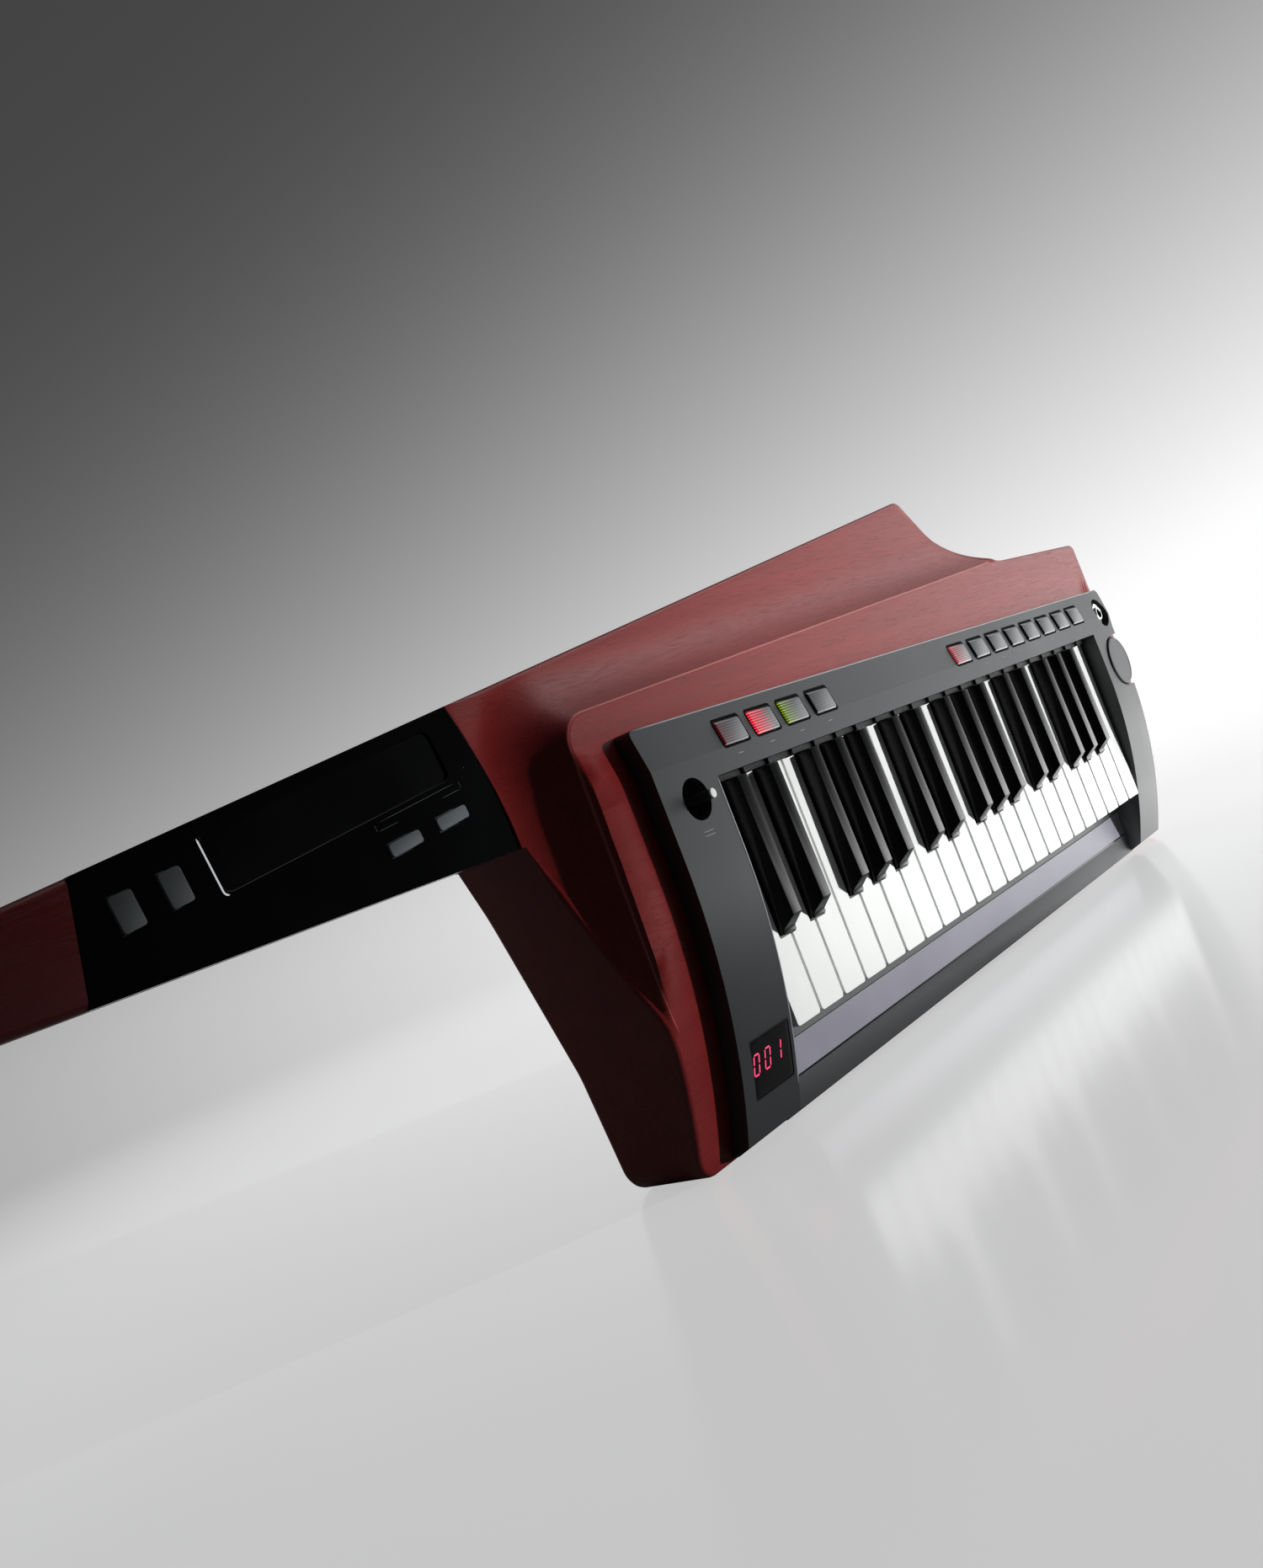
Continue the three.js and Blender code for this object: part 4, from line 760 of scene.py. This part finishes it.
# A half-round bead along a line of X and Y points: its section is a half ellipse over a flat base, and it thins to
# nothing at both ends, as the square root of the distance from them. top is the height of what it lies on.
def bead(points, width, height, top):
    ahead = np.gradient(points, axis=0)
    ahead /= np.linalg.norm(ahead, axis=1, keepdims=True)
    side = np.stack([-ahead[:, 1], ahead[:, 0]], -1)
    length = np.r_[0, np.cumsum(np.linalg.norm(np.diff(points, axis=0), axis=1))]
    taper = np.sqrt(np.clip(np.minimum(length, length[-1] - length) / width, 0.04, 1))[:, None]
    angle = np.linspace(0, math.pi, 8)
    across = np.concatenate([np.cos(angle), [-1, 1]]) * width / 2
    rise = np.concatenate([np.sin(angle) * height, [-0.3, -0.3]])
    xy = points[:, None] + side[:, None] * (across * taper)[..., None]
    z = np.broadcast_to(top, len(points))[:, None] + rise * np.where(rise > 0, taper, 1)
    return np.concatenate([xy, z[..., None]], -1)


# Place and size of the glowing line painted as the highlight on the pad's left edge.
guide = {"u": -118.32, "top": -5.5, "foot": -23.1, "hook": 1.8, "width": 0.62, "height": 0.28}
bracket = {"left": -54.5, "leftStub": -43.5, "rightStub": -22, "right": -10.5, "high": -26.4, "low": -29.2}
fineLine = {"width": 0.3, "height": 0.05, "sink": 0.02}


# The highlight on the pad's left end, painted as a glowing line hooked at its foot, and the bracket of fine lines
# under the pad.
def touchMarks():
    face = neck["front"] - fineLine["sink"]
    u, foot, hook = guide["u"], guide["foot"], guide["hook"]
    line = straight((u, guide["top"]), (u, foot), 20)
    angle = np.linspace(math.pi, 1.45 * math.pi, 8)[1:]
    turn = np.stack([u + hook * (1 + np.cos(angle)), foot + hook * np.sin(angle)], -1)
    light = bead(onNeck(np.concatenate([line, turn])), guide["width"], guide["height"], face)
    addPiece("pad_edge_highlight", [light], edgeHighlightGlow, "housing")
    left, leftStub, rightStub, right, high, low = bracket.values()
    runs = [((left, high), (right, high)), ((left, low), (leftStub, low)), ((rightStub, low), (right, low)),
            ((left, high), (left, low)), ((right, high), (right, low))]
    width, height = fineLine["width"], fineLine["height"]
    lines = [bead(onNeck(straight(start, end, 6)), width, height, face) for start, end in runs]
    addPiece("neck_bracket_lines", lines, lineGrey, "housing")


buttons = {"functionX": [19.7 + 25.5 * k for k in range(4)], "favouriteX": [250.7 + 25.5 * k for k in range(8)]}
ticks = {"functionY": 149.2, "functionLength": 5, "favouriteY": 149.6, "favouriteLength": 1.4,
         "leverY": (124.6, 122.9), "leverLength": 9, "width": 0.35, "height": 0.04}


# A short printed dash under each button, and two under the lever.
def printedTicks():
    places = [(x, ticks["functionY"], ticks["functionLength"]) for x in buttons["functionX"]]
    places += [(x, ticks["favouriteY"], ticks["favouriteLength"]) for x in buttons["favouriteX"]]
    places += [(lever["x"], y, ticks["leverLength"]) for y in ticks["leverY"]]
    dashes = []
    for x, y, length in places:
        line = straight((x - length / 2, y), (x + length / 2, y), 5)
        dashes.append(bead(line, ticks["width"], ticks["height"], faceHeight(y) - fineLine["sink"]))
    addPiece("printed_ticks", dashes, printGrey, "housing")


comb = {"low": 140.6, "high": 143.35, "base": 60.1, "top": 61.2, "tooth": 62.6, "toothWidth": 8.6, "corner": 0.3,
        "step": 0.4}


# A black guide rail over the rear ends of the white keys. Its top steps up to a tooth at each white key.
def keyComb():
    pitch, low, high, base, corner = keyboard["pitch"], comb["low"], comb["high"], comb["base"], comb["corner"]
    x = np.arange(0, keyboard["whiteKeys"] * pitch, comb["step"]) + comb["step"] / 2
    isTooth = np.abs((x % pitch) - pitch / 2) < comb["toothWidth"] / 2
    top = np.where(isTooth, comb["tooth"], comb["top"])
    section = ((low, base), (low, top - corner), (low + corner, top), (high, top), (high, base))
    grid = np.stack([np.stack([x, 0 * x + y, 0 * x + z], -1) for y, z in section], 1)
    addPiece("key_guide_rail", [grid], blackPlastic, "housing")


seat = {"base": 60.55, "wall": 68.5, "outer": 17.4, "inner": 16.4, "hole": 3.4, "floor": 0.6, "rounding": 0.2}


# A black turned cup round the disc: floor, upstanding wall with a rounded lip, and a hole for the stem.
def knobSeat():
    base, wall, outer, inner, hole, floor, rounding = seat.values()
    profile = [(hole, base), (outer, base), (outer, wall - rounding), (outer - rounding, wall),
               (inner + rounding, wall), (inner, wall - rounding), (inner, base + floor), (hole, base + floor)]
    cup = turnedGrid(profile, knob["x"], knob["y"], 96)
    addPiece("knob_seat", [cup], blackPlastic, "housing", closedRows=True)


# A flat frame between two rounded rectangles, given as rings of X and Y. It follows the panel's face.
def frameGrid(inner, outer, low, high):
    rings = ((inner, low), (inner, high), (outer, high), (outer, low))
    return np.stack([np.hstack([xy, faceHeight(xy[:, 1:]) + lift]) for xy, lift in rings])


frames = {"length": 21.0, "width": 13.2, "inside": (18.3, 11.3), "radius": 1.7, "y": 159.2, "shift": (0.35, 0.12),
          "sunk": -0.2, "proud": 0.05}


# A thin black frame round each button's opening, made wider on its right as shadow painted in the gap.
def capFrames():
    outer = roundedRing(frames["length"], frames["width"], frames["radius"], 4) + frames["shift"]
    inner = roundedRing(*frames["inside"], frames["radius"] * 0.6, 4)
    grids = []
    for x in buttons["functionX"] + buttons["favouriteX"]:
        place = (x, frames["y"])
        grids.append(frameGrid(inner + place, outer + place, frames["sunk"], frames["proud"]))
    addPiece("button_frames", grids, frameShadowBlack, "housing", closedRows=True)


# A fine black line round the display window, made as the button frames are.
def displayFrame():
    outer = roundedRing(display["length"] + 0.5, display["width"] + 0.5, 1.8, 4) + display["centre"]
    inner = roundedRing(display["length"] - 0.6, display["width"] - 0.6, 1.4, 4) + display["centre"]
    grid = frameGrid(inner, outer, -0.3, 0.04)
    addPiece("display_frame", [grid], blackPlastic, "housing", closedRows=True)


trims = {"left": -1.5, "right": 446, "top": 40.01, "edge": (27.6, 0.55, 0.12), "line": (13.25, 0.8, 0.06)}


# A pale edge along the touch strip's upper side and a black line along its lower side, both half-round beads. Each has
# its Y, width and height.
def ribbonTrims():
    beads = []
    for y, width, height in (trims["edge"], trims["line"]):
        beads.append(bead(straight((trims["left"], y), (trims["right"], y), 12), width, height, trims["top"]))
    addPiece("ribbon_edge_trim", beads[:1], printGrey, "housing")
    addPiece("ribbon_black_line", beads[1:], gloss, "housing")


lips = {"top": ((-38, 171.15), (484, 171.15)), "left": ((-2.5, 15), (-2.5, 143)), "widths": (0.55, 0.85),
        "height": 0.14}


# Fine raised lips of the charcoal moulding: beads along its upper edge and along the left side of the keys' opening,
# pale grey as highlights painted on these edges.
def panelLips():
    grids = []
    for ends, width in zip((lips["top"], lips["left"]), lips["widths"]):
        line = straight(*ends, 60)
        grids.append(bead(line, width, lips["height"], faceHeight(line[:, 1])))
    addPiece("panel_lips", grids, edgeHighlightGrey, "housing")


screws = {"head": 2.9, "rise": 0.7, "slot": 0.55, "lobes": (1.15, 0.22), "x": (-12, 149, 310, 462), "y": (33, 142)}


# Pan-head screws of the back cover: a turned dome whose middle is sunk by a recess of six lobes. The recess's radius
# is a mean plus a cosine of six times the angle.
def coverScrews():
    mean, swing = screws["lobes"]
    lobes = mean + swing * np.cos(6 * wholeTurn(48))
    rise, head, slot = screws["rise"], screws["head"], screws["slot"]
    profile = [(head, 0.2), (head, -0.15 * rise), (head * 0.93, -0.55 * rise), (head * 0.78, -0.85 * rise),
               (head * 0.6, -rise), (lobes, -rise), (lobes * 0.97, slot - rise), (0.05, slot - rise)]
    grids = [turnedGrid(profile, x, y, 48) for y in screws["y"] for x in screws["x"]]
    addPiece("cover_screws", grids, darkSteel, "housing", sharpDegrees=30)


grips = {"middle": 349, "length": 26, "y": (66, 69, 72, 75), "width": 1.1, "height": 0.45}


# Four raised ribs near the lid's edge, half-round beads turned to the back.
def lidGrips():
    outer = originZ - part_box("battery_door")[1].y / millimetre
    left, right = grips["middle"] - grips["length"] / 2, grips["middle"] + grips["length"] / 2
    grids = [bead(straight((left, y), (right, y), 10), grips["width"], grips["height"], 0) for y in grips["y"]]
    for rib in grids:
        rib[..., 2] = outer - rib[..., 2]
    addPiece("lid_grip_ribs", grids, blackPlastic, "battery_door")


ribbonTrims()
coverScrews()
lidGrips()
touchMarks()
printedTicks()
keyComb()
knobSeat()
capFrames()
displayFrame()
panelLips()
print("small details ready")


camera = {"lens": 32.141, "place": (-0.55964, -0.35971, 0.13942), "right": (0.593246, -0.719517, -0.361047),
          "down": (-0.209743, 0.294854, -0.932239), "ahead": (0.777218, 0.628773, 0.024007)}


# The camera's place and its three directions, solved from the two rows of keys.
def addCamera():
    data = bpy.data.cameras.new("camera")
    data.lens = camera["lens"]
    data.sensor_width = 36
    data.clip_start = 0.01
    eye = addObject("camera", data)
    right, down, ahead = (np.array(camera[key]) for key in ("right", "down", "ahead"))
    turn = Matrix(np.stack([right, -down, -ahead], 1).tolist())
    eye.matrix_world = Matrix.Translation(camera["place"]) @ turn.to_4x4()
    bpy.context.scene.camera = eye


# A narrow spot from the lower right, and two broad soft panels above and behind.
lights = {
    "key_low_right": {
        "kind": "SPOT", "place": (5.6, -5.8, 0.75), "target": (0.2, 0, 0.1), "energy": 3950,
        "spot_size": math.radians(4.9), "spot_blend": 0.45, "shadow_soft_size": 0.12,
    },
    "soft_overhead": {
        "kind": "AREA", "place": (0.6, -0.7, 1.5), "target": (0.35, -0.2, 0), "energy": 2.4,
        "shape": "RECTANGLE", "size": 1.2, "size_y": 1.2,
    },
    "soft_back": {
        "kind": "AREA", "place": (0.1, 2.4, 0.7), "target": (0.05, 0, 0.12), "energy": 14,
        "shape": "RECTANGLE", "size": 1.2, "size_y": 0.8,
    },
}


# A light aimed at its target, with the settings of its kind. It lights the object but shows in no reflection.
def addLight(name, kind, place, target, **settings):
    data = bpy.data.lights.new(name, kind)
    for key, value in settings.items():
        setattr(data, key, value)
    lamp = addObject(name, data)
    lamp.location = place
    lamp.rotation_mode = "QUATERNION"
    lamp.rotation_quaternion = (Vector(target) - Vector(place)).to_track_quat("-Z", "Y")
    lamp.visible_glossy = False


studio = {"darkGloss": 0.012, "brightGloss": 2.8, "lowFill": 0.012, "highFill": 0.15,
          "floorClear": 500, "floorGone": 1500, "floorGlow": 0.5, "floorCard": 3.0, "floorCloud": 700,
          "floorHalf": 6, "floorZ": -0.0004}


# The backdrop that the camera and the gloss see: grey at the upper left, white at the right, and for the gloss a
# dark studio in front with a bright wall at the right. All other rays get a soft light, weakest from the left.
def addWorld():
    world = bpy.data.worlds.new("studio")
    world.use_nodes = True
    bpy.context.scene.world = world
    tree = world.node_tree
    tree.nodes.clear()
    way = addNode(tree, "TexCoord").outputs["Generated"]

    # A plane over the directions of view: their part along a direction, plus a start.
    def slope(direction, start):
        along = addNode(tree, "VectorMath", (way, direction), operation="DOT_PRODUCT")
        return addNode(tree, "Math", (along.outputs["Value"], start), operation="ADD")

    # The backdrop is the lower of two planes, kept between 0.27 and white, each step a smooth one.
    shown = slope((0.516, -0.111, -1.25), 0.574)
    limits = (("MIN", slope((0.36, -0.36, 0), 0.871), 0.06), ("MAX", 0.27, 0.35), ("MIN", 1.0, 0.03))
    for kind, limit, blend in limits:
        shown = addNode(tree, "Math", (shown, limit, blend), operation="SMOOTH_" + kind)
    shown = addNode(tree, "Math", (shown, 2.2), operation="POWER")
    # The bright wall grows as the square towards the right, and fades with the height.
    flat = addNode(tree, "VectorMath", (way, (1, 1, 0)), operation="MULTIPLY")
    flat = addNode(tree, "VectorMath", (flat,), operation="NORMALIZE")
    toRight = addNode(tree, "VectorMath", (flat, (1, 0, 0)), operation="DOT_PRODUCT").outputs["Value"]
    rise = addNode(tree, "MapRange", (toRight, 0.74, 0.97))
    rise = addNode(tree, "Math", (rise, 2.0), operation="POWER")
    high = addNode(tree, "MapRange", (slope((0, 0, 1), 0), -0.4, 0.45, 1.5, 0.6))
    wall = addNode(tree, "Math", (rise, high), operation="MULTIPLY")
    wall = addNode(tree, "MapRange", {0: wall, 3: studio["darkGloss"], 4: studio["brightGloss"]})
    ahead = addNode(tree, "MapRange", (slope((0, 1, 0), 0), -0.15, 0.1))
    mirror = addNode(tree, "Mix", {0: ahead, 2: wall, 3: shown})
    # Camera, mirror and glass rays see the backdrop, all others the soft fill.
    path = addNode(tree, "LightPath").outputs
    glossy, glassy = path["Is Glossy Ray"], path["Is Transmission Ray"]
    mirrored = addNode(tree, "Math", (glossy, glassy), operation="MAXIMUM")
    either = addNode(tree, "Math", (path["Is Camera Ray"], mirrored), operation="MAXIMUM")
    level = addNode(tree, "Mix", {0: mirrored, 2: shown, 3: mirror})
    seen = addNode(tree, "Background", {"Color": level, "Strength": 1.0})
    low, high = studio["lowFill"], studio["highFill"]
    around = addNode(tree, "MapRange", (slope((0.5, 0.75, 0.3), 0), -0.3, 0.8, low, high))
    fill = addNode(tree, "Background", {"Color": paint("#ffffff"), "Strength": around})
    both = addNode(tree, "MixShader", (either, fill, seen))
    addNode(tree, "OutputWorld", {"Surface": both})


# A pale lacquered table top with a soft reflection, brighter for mirrors at the right. It fades into the backdrop
# with the distance.
def addFloor():
    material, tree, mm = newMaterial("pale_table_top")
    cloud = addNode(tree, "TexNoise", {"Vector": mm, "Scale": 1 / studio["floorCloud"], "Detail": 1})
    first, second = paint("#9b9d9f"), paint("#a2a4a5")
    colour = addNode(tree, "Mix", {0: cloud, 6: first, 7: second}, data_type="RGBA").outputs[2]
    path = addNode(tree, "LightPath").outputs
    across = addNode(tree, "SeparateXYZ", {"Vector": mm})
    card = addNode(tree, "MapRange", {0: across, 1: 150, 2: 500, 4: studio["floorCard"]})
    card = addNode(tree, "Math", (path["Is Glossy Ray"], card), operation="MULTIPLY")
    seen, strength = path["Is Camera Ray"], studio["floorGlow"]
    glow = addNode(tree, "Math", (seen, strength, card), operation="MULTIPLY_ADD")
    lacquer = addNode(tree, "BsdfPrincipled", {
        "Base Color": colour, "Roughness": 0.16, "IOR": 1.5,
        "Emission Color": paint("#ffffff"), "Emission Strength": glow,
    })
    away = addNode(tree, "VectorMath", (mm, (-120, 100, 0)), operation="ADD")
    away = addNode(tree, "VectorMath", (away,), operation="LENGTH").outputs["Value"]
    near, far = studio["floorClear"], studio["floorGone"]
    share = addNode(tree, "MapRange", (away, near, far), interpolation_type="SMOOTHSTEP")
    through = addNode(tree, "BsdfTransparent")
    fade = addNode(tree, "MixShader", (share, lacquer, through))
    addNode(tree, "OutputMaterial", {"Surface": fade})
    half, z = studio["floorHalf"], studio["floorZ"]
    mesh = bpy.data.meshes.new("table_top")
    mesh.from_pydata([(-half, -half, z), (half, -half, z), (half, half, z), (-half, half, z)], [], [(0, 1, 2, 3)])
    mesh.materials.append(material)
    addObject("table_top", mesh)


addCamera()
addWorld()
addFloor()
for name, light in lights.items():
    addLight(name, **light)
bpy.context.scene.view_settings.view_transform = "Standard"
print("stage ready")
